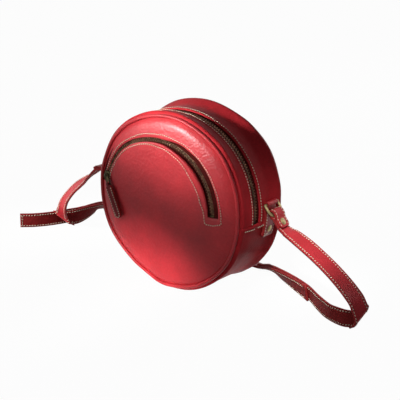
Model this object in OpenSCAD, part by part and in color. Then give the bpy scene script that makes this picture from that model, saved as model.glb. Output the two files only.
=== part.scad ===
// Round leather shoulder bag, a circle bag: a short drum that stands on its rim.
// X runs to the right as seen from the front, Y runs to the back and Z runs up.
// The origin is under the middle of the bag, on the surface that it stands on.

/* [Bag] */
// Outer radius of the side leather
bag_r = 100; // [90:1:115]
// Distance between the front and rear piping planes
bag_depth = 71; // [64:1:85]
// Thickness of the body leather
leather_t = 1.8; // [1.2:0.1:2]
// How far the front and back panels stand out past the piping
panel_crown = 5; // [4:0.5:8]
// Width of the rounded border of a panel
panel_border = 9; // [7:0.5:12]
// How deep the bottom is pressed flat where the bag stands
rest_flat = 2; // [1:0.1:3]
// Thickness of the piping
piping_d = 4; // [3:0.1:4.4]
// Thickness of the lining cloth
lining_t = 0.6; // [0.4:0.1:0.8]
// Thickness of the stiffener board behind the back panel
board_t = 0.8; // [0.5:0.1:1.2]

/* [Zips] */
// Width of a closed chain of teeth
chain_w = 5.8; // [5:0.1:6.4]
// Thickness of the teeth
teeth_t = 2.2; // [1.8:0.1:2.4]
// Distance between two teeth of one row
tooth_pitch = 3.2; // [3:0.1:5]
// Width of one zip tape beside the teeth
tape_w = 9; // [7:0.5:10]
// Thickness of a zip tape
tape_t = 0.6; // [0.4:0.1:0.8]
// Place of the main zip along the depth, forward of the middle
zip_forward = 10; // [8:0.5:12]
// Opening between the leather edges of the main zip
zip_slot_w = 11.6; // [11:0.1:14]
// How far the main zip runs past the widest point at each end
zip_end_deg = 7; // [4:1:10]

/* [Front pocket] */
// Panel between the crescent zip's middle line and the piping, where they are nearest
pocket_rim_gap = 7.35; // [7:0.05:12]
// Opening between the leather edges of the crescent zip
pocket_slot_w = 9.4; // [9:0.1:11]
// Angle at which the right end of the crescent slot lies
pocket_from_deg = 0; // [-6:1:6]
// Angle at which the left end of the crescent slot lies
pocket_to_deg = 167; // [150:1:169]
// Depth of the pocket behind the front panel
pocket_depth = 7; // [6.5:0.5:10]

/* [Tabs and rings] */
// Thickness of the D-ring wire
ring_wire = 3; // [2:0.1:3.4]
// Width inside a D-ring
ring_in_w = 21; // [20.5:0.5:24]
// Distance from the ring's straight bar to its far wire
ring_h = 14; // [13:0.5:16]
// Width of a leather tab
tab_w = 19; // [14:0.5:20]
// Thickness of the tab leather
tab_t = 1.7; // [1.2:0.1:2]
// Place of the tabs along the depth, behind the middle
tab_back = 13; // [12:0.5:16]
// How far the right ring hangs below level
right_ring_drop_deg = 54; // [40:1:70]
// How far the left ring stands above level
left_ring_rise_deg = 2; // [0:1:12]

/* [Strap] */
// Width of the strap
strap_w = 18; // [14:0.5:19]
// Thickness of the strap
strap_t = 2.6; // [2:0.1:2.8]
// Length of the right folded flap
right_flap = 23; // [19:1:28]
// Length of the left folded flap
left_flap = 33; // [28:1:40]
// Width across a rivet's cap
rivet_cap_d = 8.2; // [6:0.2:9]

/* [Buckle] */
// Distance between the heel bar and the far bar
buckle_len = 20; // [18:0.5:24]
// Thickness of the buckle wire
buckle_wire = 3; // [2.4:0.1:3.2]
// Diameter of the strap's adjusting holes
strap_hole_d = 3.6; // [3:0.1:4.5]
// Distance between two adjusting holes
strap_hole_pitch = 20; // [15:1:25]

/* [Sliders and pulls] */
// Length of a slider
slider_len = 9; // [8:0.5:10]
// Width of a slider
slider_w = 8.4; // [8.2:0.1:8.8]
// Thickness of a slider plate
plate_t = 1.2; // [0.8:0.1:1.3]
// Length of a metal pull
pull_len = 12; // [11:0.5:18]
// Length of a leather pull tab
pull_tab_len = 38; // [30:1:44]
// Width of a leather pull tab
pull_tab_w = 8.5; // [7:0.5:9]

/* [Hidden] */
$fn = 48;

// Clearance between pieces that lie against each other
gap = 0.2;
// Running clearance round a pin or a ring's bar
run = 0.08;
// Overrun of every cut
over = 1;
// Angle by which a cut sector runs past the leather's own
over_deg = 2;

// Main places
bag_z = bag_r - rest_flat;
half_d = bag_depth / 2;
inner_r = bag_r - leather_t;
piping_r = bag_r - 1.125 * piping_d;
zip_y = -zip_forward;
tape_out_r = inner_r - gap;
tape_in_r = tape_out_r - tape_t;
lining_out_r = tape_in_r - gap;
lining_in_r = lining_out_r - lining_t;

// Side leather: how the shoulder at the piping rounds, as shares of the piping's thickness
shoulder_drop_shares = [0.45, 0.15, 0];
shoulder_back_shares = [0.55, 1, 1.65];

// Panels: the border's outline as shares of its width and of its fall
border_out_shares = [0, 0.4, 0.7, 1];
border_fall_shares = [0, 0.12, 0.42, 1];
panel_r = piping_r - piping_d / 2 - gap;
flat_r = panel_r - panel_border;
panel_fall = panel_crown - piping_d / 2 + gap;
panel_front = half_d + panel_crown;

// Crescent pocket: the arc's centre as shares of the bag's radius
pocket_x_share = -0.117;
pocket_z_share = -0.033;
pocket_x = pocket_x_share * bag_r;
pocket_z = bag_z + pocket_z_share * bag_r;
pocket_zip_r = panel_r - pocket_rim_gap - bag_r * norm([pocket_x_share, pocket_z_share]);
pocket_in = panel_front - leather_t;
pocket_tape_y = pocket_in - gap;
pocket_tape_reach = flat_r - 2 * gap;
pocket_teeth_y = pocket_tape_y - tape_t / 2;

// Zips
post_w = 0.6;
post_slot = post_w + 3 * gap;
row_w = (chain_w - post_slot) / 2;
teeth_r = tape_out_r - tape_t / 2;
tooth_len = tooth_pitch * 0.62;
stop_len = 2;
stop_deg = zip_end_deg - deg_of(stop_len, bag_r);
pocket_stop_deg = deg_of(stop_len, pocket_zip_r);

// Sliders: heights from the middle of the teeth outwards
plate_lo = teeth_t / 2 + gap;
plate_hi = plate_lo + plate_t;
lug_r = 1.7;
lug_w = 2.2;
pin_r = 0.7;
pin_h = plate_hi + 1.5 * lug_r;
arm_w = 1.1;
pull_w = lug_w + 2 * arm_w + 4 * gap;
pull_t = 1;
pull_ply = 0.8;
eye_wall = 1.4;
eye_len = 3;
slider_half_deg = deg_of(slider_len / 2 + gap, bag_r);
main_rest_deg = 180 + stop_deg - slider_half_deg;
pocket_half_deg = deg_of(slider_len / 2 + gap, pocket_zip_r);
pocket_rest_deg = pocket_to_deg - pocket_stop_deg - pocket_half_deg;
pocket_pull_lean_deg = 25;
tail_row_len = 0.065 * bag_r;

// Pocket bag: wide enough for the slider, with its wall's front edge behind the panel's border
slider_rest_x = pocket_x + pocket_zip_r * cos(pocket_rest_deg);
slider_rest_z = pocket_z - bag_z + pocket_zip_r * sin(pocket_rest_deg);
pocket_bag_r = norm([slider_rest_x, slider_rest_z]) + slider_w / 2 + 3 * gap + lining_t;
pocket_bag_share = (pocket_bag_r - flat_r) / (panel_border - leather_t / 3);
pocket_bag_fall = panel_fall * lookup(pocket_bag_share,
    [for (i = [0:3]) [border_out_shares[i], border_fall_shares[i]]]);

// Rings and tabs
ring_r = ring_wire / 2;
ring_mid_w = ring_in_w + ring_wire;
ring_corner = 0.43 * ring_in_w;
tab_bore_r = ring_r + run;
tab_tube_r = tab_bore_r + tab_t;
bar_deg = 4;
tab_tail_deg = -17;
tab_rivet_deg = -12;
bar_reach = bag_r + gap / 2 + tab_tube_r;
tab_end_deg = bar_deg - deg_of((tab_bore_r + tab_tube_r) / 2, bag_r);
bar_x = bar_reach * cos(bar_deg);
bar_z = bag_z + bar_reach * sin(bar_deg);
rivet_r = 1.25;
rivet_cap_h = 1.3;
rivet_back_r = 3;

// Strap folds round a ring or a bar, in the ring's own plane
fold_ease = 0.15;
cavity = ring_r + gap + fold_ease;
ply_out = cavity + strap_t / 2;
ply_close = (strap_t + gap) / 2;
bight_back = 2.85;
fold_steps = 6;

// Strap on the surface: how the keeper and the folded ply lift it by the buckle
keeper_t = 1.4;
keeper_w = 9;
ply_pitch = strap_t + gap;
low_ply_z = strap_t / 2;
main_ply_z = low_ply_z + ply_pitch;
keeper_ply_z = keeper_t + 2 * gap + strap_t / 2;
heel_r = buckle_wire / 2;
heel_ply = heel_r + gap + fold_ease + strap_t / 2;
heel_z = low_ply_z + heel_ply;
buckle_play = 1.3;
buckle_half_w = strap_w / 2 + buckle_play + heel_r;
buckle_corner = 3;
prong_r = 1;
prong_w = 3;
prong_slot_w = 4;
buckle_fold = 30;

// Line of the strap behind the bag: its heel bar's place and its slope
heel_x_share = -0.6;
heel_y_share = 0.57;
rear_slope_deg = -6;
heel_x = heel_x_share * bag_r;
heel_y = half_d + heel_y_share * bag_r;

// Strap routes on and above the surface. A row is x, y and height of the strap's middle as shares
// of the bag's radius, then the way that the strap's width points. Height 0 rests on the surface.
// A last 1 stands for a fold that crosses the strap at a slant, 0 or nothing for a square one.
right_route_shares = [
    [1.27, 0.118, 0.775, 0, 1, 0.12],
    [1.362, 0.091, 0.755, 0.05, 0.95, 0.3],
    [1.555, 0.044, 0.69, 0.1, 0.88, 0.45],
    [1.74, 0, 0.613, 0.1, 0.88, 0.46],
    [1.916, -0.045, 0.531, 0.13, 0.85, 0.5],
    [2.071, -0.083, 0.443, 0.18, 0.8, 0.57, 0.2],
    [2.187, -0.111, 0.364, 0.24, 0.7, 0.66, 0.5],
    [2.266, -0.13, 0.295, 0.3, 0.62, 0.72, 0.8],
    [2.327, -0.144, 0.195, 0.356, 0.55, 0.755, 1],
    [2.332, -0.14, 0.152, 0.356, 0.55, 0.755, 1],
    [2.315, -0.128, 0.12, 0.356, 0.55, 0.755, 1],
    [2.282, -0.124, 0.1, 0.356, 0.55, 0.755, 1],
    [2.245, -0.139, 0.096, 0.34, 0.53, 0.78, 1],
    [2.13, -0.16, 0, 0.15, 0.25, 0.96, 0.8],
    [1.97, -0.122, 0, 0, 0, 1],
    [1.84, -0.05, 0, 0, 0, 1],
    [1.67, 0.075, 0, 0, -0.08, 1]
];
// The rest of the right route, where it lies on the punched strap
lap_route_shares = [
    [1.49, 0.215, 0, -0.05, -0.15, 1],
    [1.235, 0.37, 0, -0.05, -0.32, 0.94],
    [0.93, 0.545, 0, 0.15, -0.68, 0.7],
    [0.7, 0.68, 0, 0.3, -0.85, 0.4],
    [0.54, 0.75, 0, 0.2, -0.95, 0.2]
];
left_route_shares = [
    [-1.555, 0.175, 0.905, -0.05, 0.98, 0.2],
    [-1.665, 0.22, 0.828, -0.18, 0.9, 0.37],
    [-1.766, 0.255, 0.767, -0.3, 0.83, 0.45],
    [-1.936, 0.3, 0.649, -0.39, 0.73, 0.55],
    [-2.107, 0.352, 0.495, -0.56, 0.6, 0.52],
    [-2.217, 0.391, 0.356, -0.72, 0.35, 0.5, 0.3],
    [-2.285, 0.445, 0.245, -0.78, 0.05, 0.56, 0.7],
    [-2.379, 0.542, 0.154, -0.746, -0.337, 0.574, 1],
    [-2.378, 0.543, 0.125, -0.746, -0.337, 0.574, 1],
    [-2.38, 0.561, 0.105, -0.746, -0.337, 0.574, 1],
    [-2.376, 0.588, 0.096, -0.746, -0.337, 0.574, 1],
    [-2.36, 0.612, 0.096, -0.72, -0.32, 0.6, 1],
    [-2.312, 0.73, 0.096, -0.3, -0.05, 0.95, 0.5],
    [-2.31, 0.94, 0.097, 0.2, 0, 0.98],
    [-2.318, 1.13, 0.1, 0.6, -0.05, 0.79],
    [-2.346, 1.272, 0.09, 0.85, 0.05, 0.45],
    [-2.28, 1.38, 0.07, 0.75, -0.5, 0.35],
    [-2.1, 1.44, 0.05, 0.4, -0.85, 0.25],
    [-1.8, 1.36, 0.045, 0.1, -1, 0.1],
    [-1.45, 1.15, 0.04, 0, -1, 0.05]
];
// Row of the left route at which the punched strap parts from it
part_row = 13;
tail_route_shares = [
    [-2.385, 0.83, 0, 0, 0, 1],
    [-2.435, 0.72, 0, 0, 0, 1],
    [-2.485, 0.59, 0, 0, 0, 1],
    [-2.56, 0.45, 0, 0, 0, 1],
    [-2.66, 0.32, 0, 0, 0, 1],
    [-2.79, 0.21, 0, 0, 0, 1]
];
route_steps = 3;

// Vector helpers
function deg_of(len, r) = len / r * 180 / PI;
function unit(v) = v / norm(v);
function pos3(v) = [v[0], v[1], v[2]];
function dir3(v) = [v[3], v[4], v[5]];
function station(p, w, slant = 0) = [p[0], p[1], p[2], w[0], w[1], w[2], slant];
function flip(list) = [for (i = [len(list) - 1:-1:0]) list[i]];

// Smooth curve through rows of numbers
function knot(rows, i) = rows[max(0, min(len(rows) - 1, i))];
function curve_at(rows, i, u) =
    let (a = knot(rows, i - 1), b = knot(rows, i), c = knot(rows, i + 1), d = knot(rows, i + 2))
    (2 * b + (c - a) * u + (2 * a - 5 * b + 4 * c - d) * u * u
        + (3 * b - a - 3 * c + d) * u * u * u) / 2;
function curve(rows, n) = concat(
    [for (i = [0:len(rows) - 2], k = [0:n - 1]) curve_at(rows, i, k / n)],
    [rows[len(rows) - 1]]);

// Half the height that the strap's cross-section takes when its width points along w
function rest_height(w) =
    let (up = abs(unit(w)[2])) (strap_w * up + strap_t * sqrt(1 - up * up)) / 2;
function placed(row) = station(
    [row[0] * bag_r, row[1] * bag_r, max(row[2] * bag_r, rest_height(dir3(row)))], unit(dir3(row)),
    len(row) > 6 ? row[6] : 0);
function placed_route(rows) = [for (row = rows) placed(row)];
// The same for a strap that lies on another one, which takes the surface
function lapped(row) = let (w = unit(dir3(row))) station(
    [row[0] * bag_r, row[1] * bag_r,
        rest_height(w) + ply_pitch * sqrt(1 - w[2] * w[2]) + gap], w);

// Frame of a strap at each point: the way along it, across it and out of its face
function along(path, i) =
    unit(pos3(path[min(len(path) - 1, i + 1)]) - pos3(path[max(0, i - 1)]));
function across(path, i) =
    let (t = along(path, i), w = dir3(path[i])) unit(w - (w * t) * t);
function face(path, i) = cross(along(path, i), across(path, i));
function slanted(path, i) = let (
    t = along(path, i), u = unit(dir3(path[i])), w = unit(u - (1 - path[i][6]) * (u * t) * t))
    w / norm(cross(t, w));
function shifted(path, i, d) = station(pos3(path[i]) + d * face(path, i), across(path, i));

// Lifts a path's points so that no edge of the strap dips under the surface. From lap_from on, the
// strap lies on another one.
function grounded(path, lap_from) = [for (i = [0:len(path) - 1]) let (
    up = abs(face(path, i)[2]), under = i < lap_from ? 0 : ply_pitch + gap,
    low = abs(slanted(path, i)[2]) * strap_w / 2 + up * (strap_t / 2 + under))
    station([path[i][0], path[i][1], max(path[i][2], low)], dir3(path[i]), path[i][6])];

// A flat strap swept along a path of points, each with the way its width points
module strap_along(path, w, t) {
    n = len(path);
    points = [for (i = [0:n - 1]) let (
        p = pos3(path[i]), a = slanted(path, i) * w / 2, f = face(path, i) * t / 2)
        each [p - a - f, p + a - f, p + a + f, p - a + f]];
    sides = [for (i = [0:n - 2], k = [0:3]) let (
        a = 4 * i + k, b = 4 * i + (k + 1) % 4, c = b + 4, d = a + 4)
        each k == 2 ? [[a, d, b], [b, d, c]] : [[a, c, b], [a, d, c]]];
    ends = [[0, 1, 2], [0, 2, 3],
        [4 * n - 4, 4 * n - 2, 4 * n - 3], [4 * n - 4, 4 * n - 1, 4 * n - 2]];
    polyhedron(points, concat(sides, ends), convexity = 12);
}

// Fold of a strap round a wire: places along and out from the bar, from the flap's end
function fold(end, bight, out, close, stretch) = concat(
    [for (k = [0:3]) [end + (bight + stretch - end) * k / 4, close]],
    [[bight + stretch, close], [bight + stretch * 0.75, out * 0.3 + close * 0.7],
        [bight + stretch * 0.45, out * 0.93 + close * 0.07]],
    [for (k = [0:fold_steps]) [bight - out * sin(180 * k / fold_steps),
        out * cos(180 * k / fold_steps)]],
    [[bight + stretch * 0.45, -out * 0.93 - close * 0.07],
        [bight + stretch * 0.75, -out * 0.3 - close * 0.7], [bight + stretch, -close]],
    [for (k = [3:-1:0]) [end + (bight + stretch - end) * k / 4, -close]]);
fold_stretch = 8;
buckle_stretch = 12;
fold_count = fold_steps + 15;
ring_bight = ring_h - bight_back;
bight_tip = ring_bight - ply_out - strap_t / 2;
right_rivet_share = 0.72;
left_rivet_share = 0.56;
right_rivet_a = bight_tip + right_rivet_share * right_flap;
left_rivet_a = bight_tip + left_rivet_share * left_flap;
right_bend_r = 40;
right_bend_deg = 12;
left_bend_r = 12;
left_bend_deg = 37;

// Bends a fold's places past a point round an arc: inwards for r above 0, outwards below it
function arched(p, from, r, turn) = let (
    past = max(p[0] - from, 0), s = min(past, abs(r) * turn * PI / 180), phi = s / r * 180 / PI)
    [min(p[0], from) + (r + p[1]) * sin(phi) + (past - s) * cos(phi),
        (r + p[1]) * cos(phi) - r - (past - s) * sin(phi)];

// A ring's own plane: a along the ring, b out of it, on the side given by +1 or -1
function ring_place(side, drop, p) = [
    side * (bar_x + p[0] * cos(drop) + p[1] * sin(drop)), tab_back,
    bar_z - p[0] * sin(drop) + p[1] * cos(drop)];
function ring_fold(side, drop, flap, bend_from, bend_r, bend_turn) = [
    for (p = fold(bight_tip + flap, ring_bight, ply_out, ply_close, fold_stretch))
        station(ring_place(side, drop, arched(p, bend_from, bend_r, bend_turn)), [0, 1, 0])];

// Straight line of the strap behind the bag: u from the heel bar towards the right
function rear_place(u, z) = station(
    [heel_x + u * cos(rear_slope_deg), heel_y + u * sin(rear_slope_deg), z],
    [sin(rear_slope_deg), -cos(rear_slope_deg), 0]);
keeper_u = -buckle_fold - 1.2 * keeper_w;

// Right strap: fold, loop and return, as far as the end of its lap
lap_from = fold_count + len(right_route_shares) * route_steps;
right_path = grounded(concat(
    ring_fold(1, right_ring_drop_deg, right_flap, right_rivet_a + rivet_cap_d / 2,
        -right_bend_r, right_bend_deg),
    curve(concat(placed_route(right_route_shares), [for (row = lap_route_shares) lapped(row)]),
        route_steps)), lap_from);

// Left strap: fold, loop and return, then the fold round the heel bar of the buckle
left_end = concat(
    [rear_place(keeper_u - 2 * keeper_w, keeper_ply_z), rear_place(keeper_u - keeper_w, keeper_ply_z),
        rear_place(keeper_u, keeper_ply_z), rear_place(keeper_u + 0.65 * keeper_w, keeper_ply_z),
        rear_place(-buckle_fold + 4 * gap, main_ply_z),
        rear_place(-buckle_stretch, main_ply_z)],
    [rear_place(-buckle_stretch * 0.35, heel_z + heel_ply * 0.8)],
    [for (k = [0:fold_steps]) rear_place(heel_ply * sin(180 * k / fold_steps),
        heel_z + heel_ply * cos(180 * k / fold_steps))],
    [rear_place(-buckle_stretch * 0.6, low_ply_z), rear_place(-buckle_fold, low_ply_z)]);
left_loop = curve(concat(placed_route(left_route_shares), [left_end[0]]), route_steps);
left_path = grounded(concat(
    ring_fold(-1, -left_ring_rise_deg, left_flap, left_rivet_a + rivet_cap_d / 2,
        left_bend_r, left_bend_deg),
    [for (i = [0:len(left_loop) - 2]) left_loop[i]],
    left_end), len(left_loop) + fold_count + len(left_end));

// Punched strap: from under the right strap's lap, under the far bar, over the heel bar,
// through the keeper, along the left strap's outer face and out to its own end
lap_path = [for (i = [lap_from:len(right_path) - 1]) shifted(right_path, i, -ply_pitch)];
lap_end = lap_path[len(lap_path) - 1];
over_heel = heel_ply + ply_pitch + gap;
keeper_rows = [rear_place(buckle_len + 2 * strap_w, low_ply_z),
    rear_place(buckle_len + strap_w / 2, low_ply_z), rear_place(buckle_len, low_ply_z),
    rear_place(buckle_len * 0.82, low_ply_z), rear_place(buckle_len * 0.62, low_ply_z * 1.7),
    rear_place(buckle_len * 0.42, heel_z),
    for (phi = [50, 25, 0]) rear_place(over_heel * sin(phi), heel_z + over_heel * cos(phi)),
    rear_place(-buckle_stretch * 0.35, heel_z + heel_ply * 0.8 + ply_pitch * 1.15),
    rear_place(-buckle_stretch * 0.7, (heel_z + heel_ply + main_ply_z) / 2 + ply_pitch * 1.1),
    rear_place(-buckle_stretch, main_ply_z + ply_pitch * 1.1),
    rear_place(-buckle_stretch * 1.4, main_ply_z + ply_pitch + gap),
    rear_place(-buckle_fold + 4 * gap, main_ply_z + ply_pitch + gap),
    rear_place(keeper_u + 0.65 * keeper_w, keeper_ply_z + ply_pitch + gap),
    rear_place(keeper_u, keeper_ply_z + ply_pitch + gap),
    rear_place(keeper_u - keeper_w, keeper_ply_z + ply_pitch + gap)];
left_count = len(left_loop);
beside_rows = [for (i = [left_count - 1:-1:part_row * route_steps])
    shifted(left_loop, i, -ply_pitch - gap)];
part_place = beside_rows[len(beside_rows) - 1];
middle_path = curve(concat([lap_end], keeper_rows, [beside_rows[0]]), route_steps);
tail_path = curve(concat([part_place], placed_route(tail_route_shares)), route_steps);
joined_path = concat(lap_path, [for (i = [1:len(middle_path) - 2]) middle_path[i]], beside_rows,
    [for (i = [1:len(tail_path) - 1]) tail_path[i]]);
punched_path = grounded(joined_path, len(joined_path));

// Shapes round the bag's own axis, which runs along Y through its centre
module round_y(points, from_deg = 0, sweep_deg = 360) {
    translate([0, 0, bag_z]) rotate([90, 0, 0]) rotate([0, 0, from_deg])
        rotate_extrude(angle = sweep_deg, $fn = 120) polygon([for (p = points) [p[0], -p[1]]]);
}
module band_y(r_in, r_out, y_from, y_to, from_deg = 0, sweep_deg = 360) {
    round_y([[r_in, y_from], [r_out, y_from], [r_out, y_to], [r_in, y_to]], from_deg, sweep_deg);
}
module above(z) {
    translate([-2 * bag_r, -2 * bag_r, z]) cube([4 * bag_r, 4 * bag_r, 4 * bag_r]);
}
// Puts its children on the bag's side: X outwards, Y along the depth, Z round the bag
module on_side(theta, r = bag_r, y = 0) {
    translate([0, 0, bag_z]) rotate([0, -theta, 0]) translate([r, y, 0]) children();
}
// Puts its children on the crescent's arc: X outwards from its centre, -Y forward
module on_crescent(theta, r = pocket_zip_r, y = 0) {
    translate([pocket_x, y, pocket_z]) rotate([0, -theta, 0]) translate([r, 0, 0]) children();
}

// Side leather
function strip_edge(sign) = [for (i = [0:2]) [
    bag_r - shoulder_drop_shares[i] * piping_d,
    sign * (half_d - piping_d / 2 - gap
        - (shoulder_back_shares[i] - shoulder_back_shares[0]) * piping_d)]];
function strip_inner(sign) = [for (p = flip(strip_edge(sign))) [p[0] - leather_t, p[1]]];
module strip(sign, y_zip) {
    round_y(concat(strip_edge(sign), [[bag_r, y_zip], [inner_r, y_zip]], strip_inner(sign)),
        -zip_end_deg, 180 + 2 * zip_end_deg);
}
module front_zip_strip() { color("firebrick") strip(-1, zip_y - zip_slot_w / 2); }
module rear_zip_strip() { color("firebrick") strip(1, zip_y + zip_slot_w / 2); }
module bottom_gusset() {
    outer = concat([[0, strip_edge(-1)[0][1]]], strip_edge(-1), flip(strip_edge(1)),
        [[0, strip_edge(1)[0][1]]]);
    cut_front = strip_edge(-1)[0][1] - over;
    cut_back = strip_edge(1)[0][1] + over;
    inner = concat([[0, cut_front], [strip_inner(-1)[2][0], cut_front]], flip(strip_inner(-1)),
        strip_inner(1), [[strip_inner(1)[2][0], cut_back], [0, cut_back]]);
    color("firebrick") difference() {
        intersection() {
            round_y(outer, 180 + zip_end_deg, 180 - 2 * zip_end_deg);
            above(0);
        }
        intersection() {
            round_y(inner, 180 + zip_end_deg - over_deg, 180 - 2 * zip_end_deg + 2 * over_deg);
            above(leather_t);
        }
        tab_rivet_holes();
    }
}

// Panels and piping
module panel(sign) {
    outer = [for (i = [0:3]) [flat_r + border_out_shares[i] * panel_border,
        sign * (panel_front - border_fall_shares[i] * panel_fall)]];
    inner = [for (i = [3:-1:0]) [flat_r + border_out_shares[i] * (panel_border - leather_t / 3),
        sign * (panel_front - leather_t - border_fall_shares[i] * panel_fall)]];
    round_y(concat([[0, sign * panel_front]], outer, inner, [[0, sign * (panel_front - leather_t)]]));
}
module front_panel() {
    color("indianred") difference() {
        panel(-1);
        crescent(pocket_zip_r - pocket_slot_w / 2, pocket_zip_r + pocket_slot_w / 2,
            -panel_front - over, -pocket_in + over, pocket_from_deg, pocket_to_deg);
    }
}
module back_panel() { color("firebrick") panel(1); }
module piping(y) {
    translate([0, y, bag_z]) rotate([90, 0, 0]) rotate_extrude($fn = 120)
        translate([piping_r, 0]) circle(d = piping_d);
}
module front_piping() { color("crimson") piping(-half_d); }
module rear_piping() { color("crimson") piping(half_d); }
module back_stiffener() {
    color("tan") round_y([[0, pocket_in - gap], [flat_r, pocket_in - gap],
        [flat_r, pocket_in - gap - board_t], [0, pocket_in - gap - board_t]]);
}

// Main zip
module main_tape(sign) {
    near = zip_y + sign * chain_w / 2;
    band_y(tape_in_r, tape_out_r, min(near, near + sign * tape_w), max(near, near + sign * tape_w),
        -zip_end_deg - over_deg, 180 + 2 * (zip_end_deg + over_deg));
}
module main_tape_front() { color("saddlebrown") main_tape(-1); }
module main_tape_rear() { color("saddlebrown") main_tape(1); }
module main_teeth(sign, shift) {
    step = deg_of(tooth_pitch, teeth_r);
    first = -stop_deg + (0.5 + shift) * step;
    count = floor((180 + 2 * stop_deg - step) / step);
    for (i = [0:count - 1])
        on_side(first + i * step, teeth_r, zip_y + sign * (chain_w - row_w) / 2)
            cube([teeth_t, row_w, tooth_len], center = true);
}
module main_teeth_front() { color("darkgoldenrod") main_teeth(-1, 0); }
module main_teeth_rear() { color("darkgoldenrod") main_teeth(1, 0.5); }
module main_zip_stops() {
    color("darkgoldenrod") for (theta = [-stop_deg - deg_of(stop_len, teeth_r) / 2,
            180 + stop_deg + deg_of(stop_len, teeth_r) / 2])
        on_side(theta, teeth_r, zip_y) cube([teeth_t, chain_w, stop_len * 0.8], center = true);
}

// A slider round the chain. X is out of the bag, Y is across the chain, Z is along it.
module slider_body(turn = 0) {
    for (s = [-1, 1])
        translate([s * (plate_lo + plate_t / 2), 0, 0]) rotate([0, 90, 0])
            linear_extrude(height = plate_t, center = true)
                intersection() {
                    square([slider_len, slider_w], center = true);
                    circle(d = slider_len * 1.13);
                }
    cube([2 * plate_lo + over, post_w, slider_len / 2], center = true);
    translate([plate_hi - over / 4, 0, 0]) rotate([turn, 0, 0]) difference() {
        union() {
            translate([pin_h - plate_hi + over / 4, 0, 0]) rotate([90, 0, 0])
                cylinder(r = lug_r, h = lug_w, center = true);
            translate([0, -lug_w / 2, -lug_r]) cube([pin_h - plate_hi + over / 4, lug_w, 2 * lug_r]);
        }
        translate([pin_h - plate_hi + over / 4, 0, 0]) rotate([90, 0, 0])
            cylinder(r = pin_r + run, h = lug_w + over, center = true);
    }
}
// A metal pull that hangs down -Z from its pin along Y
module pull_body() {
    rotate([90, 0, 0]) cylinder(r = pin_r, h = pull_w, center = true);
    arm_y = lug_w / 2 + 2 * gap;
    difference() {
        translate([-pull_t / 2, -pull_w / 2, -pull_len]) cube([pull_t, pull_w, pull_len + pin_r]);
        translate([-over, -arm_y, -lug_r - 4 * gap])
            cube([2 * over, 2 * arm_y, lug_r + 4 * gap + over]);
        translate([-over, eye_wall - pull_w / 2, eye_wall - pull_len])
            cube([2 * over, pull_w - 2 * eye_wall, eye_len]);
    }
}
// A leather tab that is folded through the pull's eye
module pull_tab_body(length) {
    eye_z = eye_wall - pull_len + eye_len / 2;
    neck_w = pull_w - 2 * eye_wall - 2 * gap;
    half_t = pull_t / 2 + gap + pull_ply;
    leaf_top = -pull_len - 2 * gap;
    for (s = [-1, 1]) translate([s * (half_t - pull_ply / 2) - pull_ply / 2, -neck_w / 2, leaf_top - over])
        cube([pull_ply, neck_w, eye_z - leaf_top + over + pull_ply / 2]);
    translate([-half_t, -neck_w / 2, eye_z - pull_ply / 2]) cube([2 * half_t, neck_w, pull_ply]);
    translate([0, 0, leaf_top]) rotate([0, 90, 0]) linear_extrude(height = 2 * half_t, center = true)
        union() {
            translate([0, -pull_tab_w / 2]) square([length - pull_tab_w / 2, pull_tab_w]);
            translate([length - pull_tab_w / 2, 0]) circle(d = pull_tab_w);
        }
}
module main_slider() {
    color("olive") on_side(main_rest_deg, teeth_r, zip_y) slider_body();
}
module at_main_pin() {
    on_side(main_rest_deg, teeth_r + pin_h, zip_y) rotate([0, main_rest_deg, 0]) children();
}
module main_pull() { color("olive") at_main_pin() pull_body(); }
module main_pull_tab() { color("darkred") at_main_pin() pull_tab_body(0.85 * pull_tab_len); }

// Crescent pocket zip on the front panel
module crescent(r_in, r_out, y_from, y_to, from_deg, to_deg) {
    translate([pocket_x, y_to, pocket_z]) rotate([90, 0, 0]) rotate([0, 0, from_deg])
        rotate_extrude(angle = to_deg - from_deg, $fn = 120)
            translate([r_in, 0]) square([r_out - r_in, y_to - y_from]);
}
module pocket_tape(r_in, r_out) {
    intersection() {
        crescent(r_in, r_out, -pocket_tape_y, -pocket_tape_y + tape_t,
            pocket_from_deg - over_deg, pocket_to_deg + over_deg);
        band_y(0, pocket_tape_reach, -pocket_tape_y - over, -pocket_tape_y + over);
    }
}
module pocket_tape_outer() {
    color("saddlebrown") pocket_tape(pocket_zip_r + chain_w / 2, pocket_zip_r + chain_w / 2 + tape_w);
}
module pocket_tape_inner() {
    color("saddlebrown") pocket_tape(pocket_zip_r - chain_w / 2 - tape_w, pocket_zip_r - chain_w / 2);
}
module pocket_teeth(sign, shift) {
    r = pocket_zip_r + sign * (chain_w - row_w) / 2;
    step = deg_of(tooth_pitch, pocket_zip_r);
    first = pocket_from_deg + pocket_stop_deg + (0.5 + shift) * step;
    count = floor((pocket_to_deg - pocket_from_deg - 2 * pocket_stop_deg - step) / step);
    for (i = [0:count - 1]) on_crescent(first + i * step, r, -pocket_teeth_y)
        cube([row_w, teeth_t, tooth_len], center = true);
}
module pocket_teeth_outer() { color("darkgoldenrod") pocket_teeth(1, 0); }
module pocket_teeth_inner() { color("darkgoldenrod") pocket_teeth(-1, 0.5); }
module pocket_zip_stops() {
    color("darkgoldenrod") for (theta = [pocket_from_deg + pocket_stop_deg / 2,
            pocket_to_deg - pocket_stop_deg / 2])
        on_crescent(theta, pocket_zip_r, -pocket_teeth_y)
            cube([chain_w, teeth_t, stop_len * 0.8], center = true);
}
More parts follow.
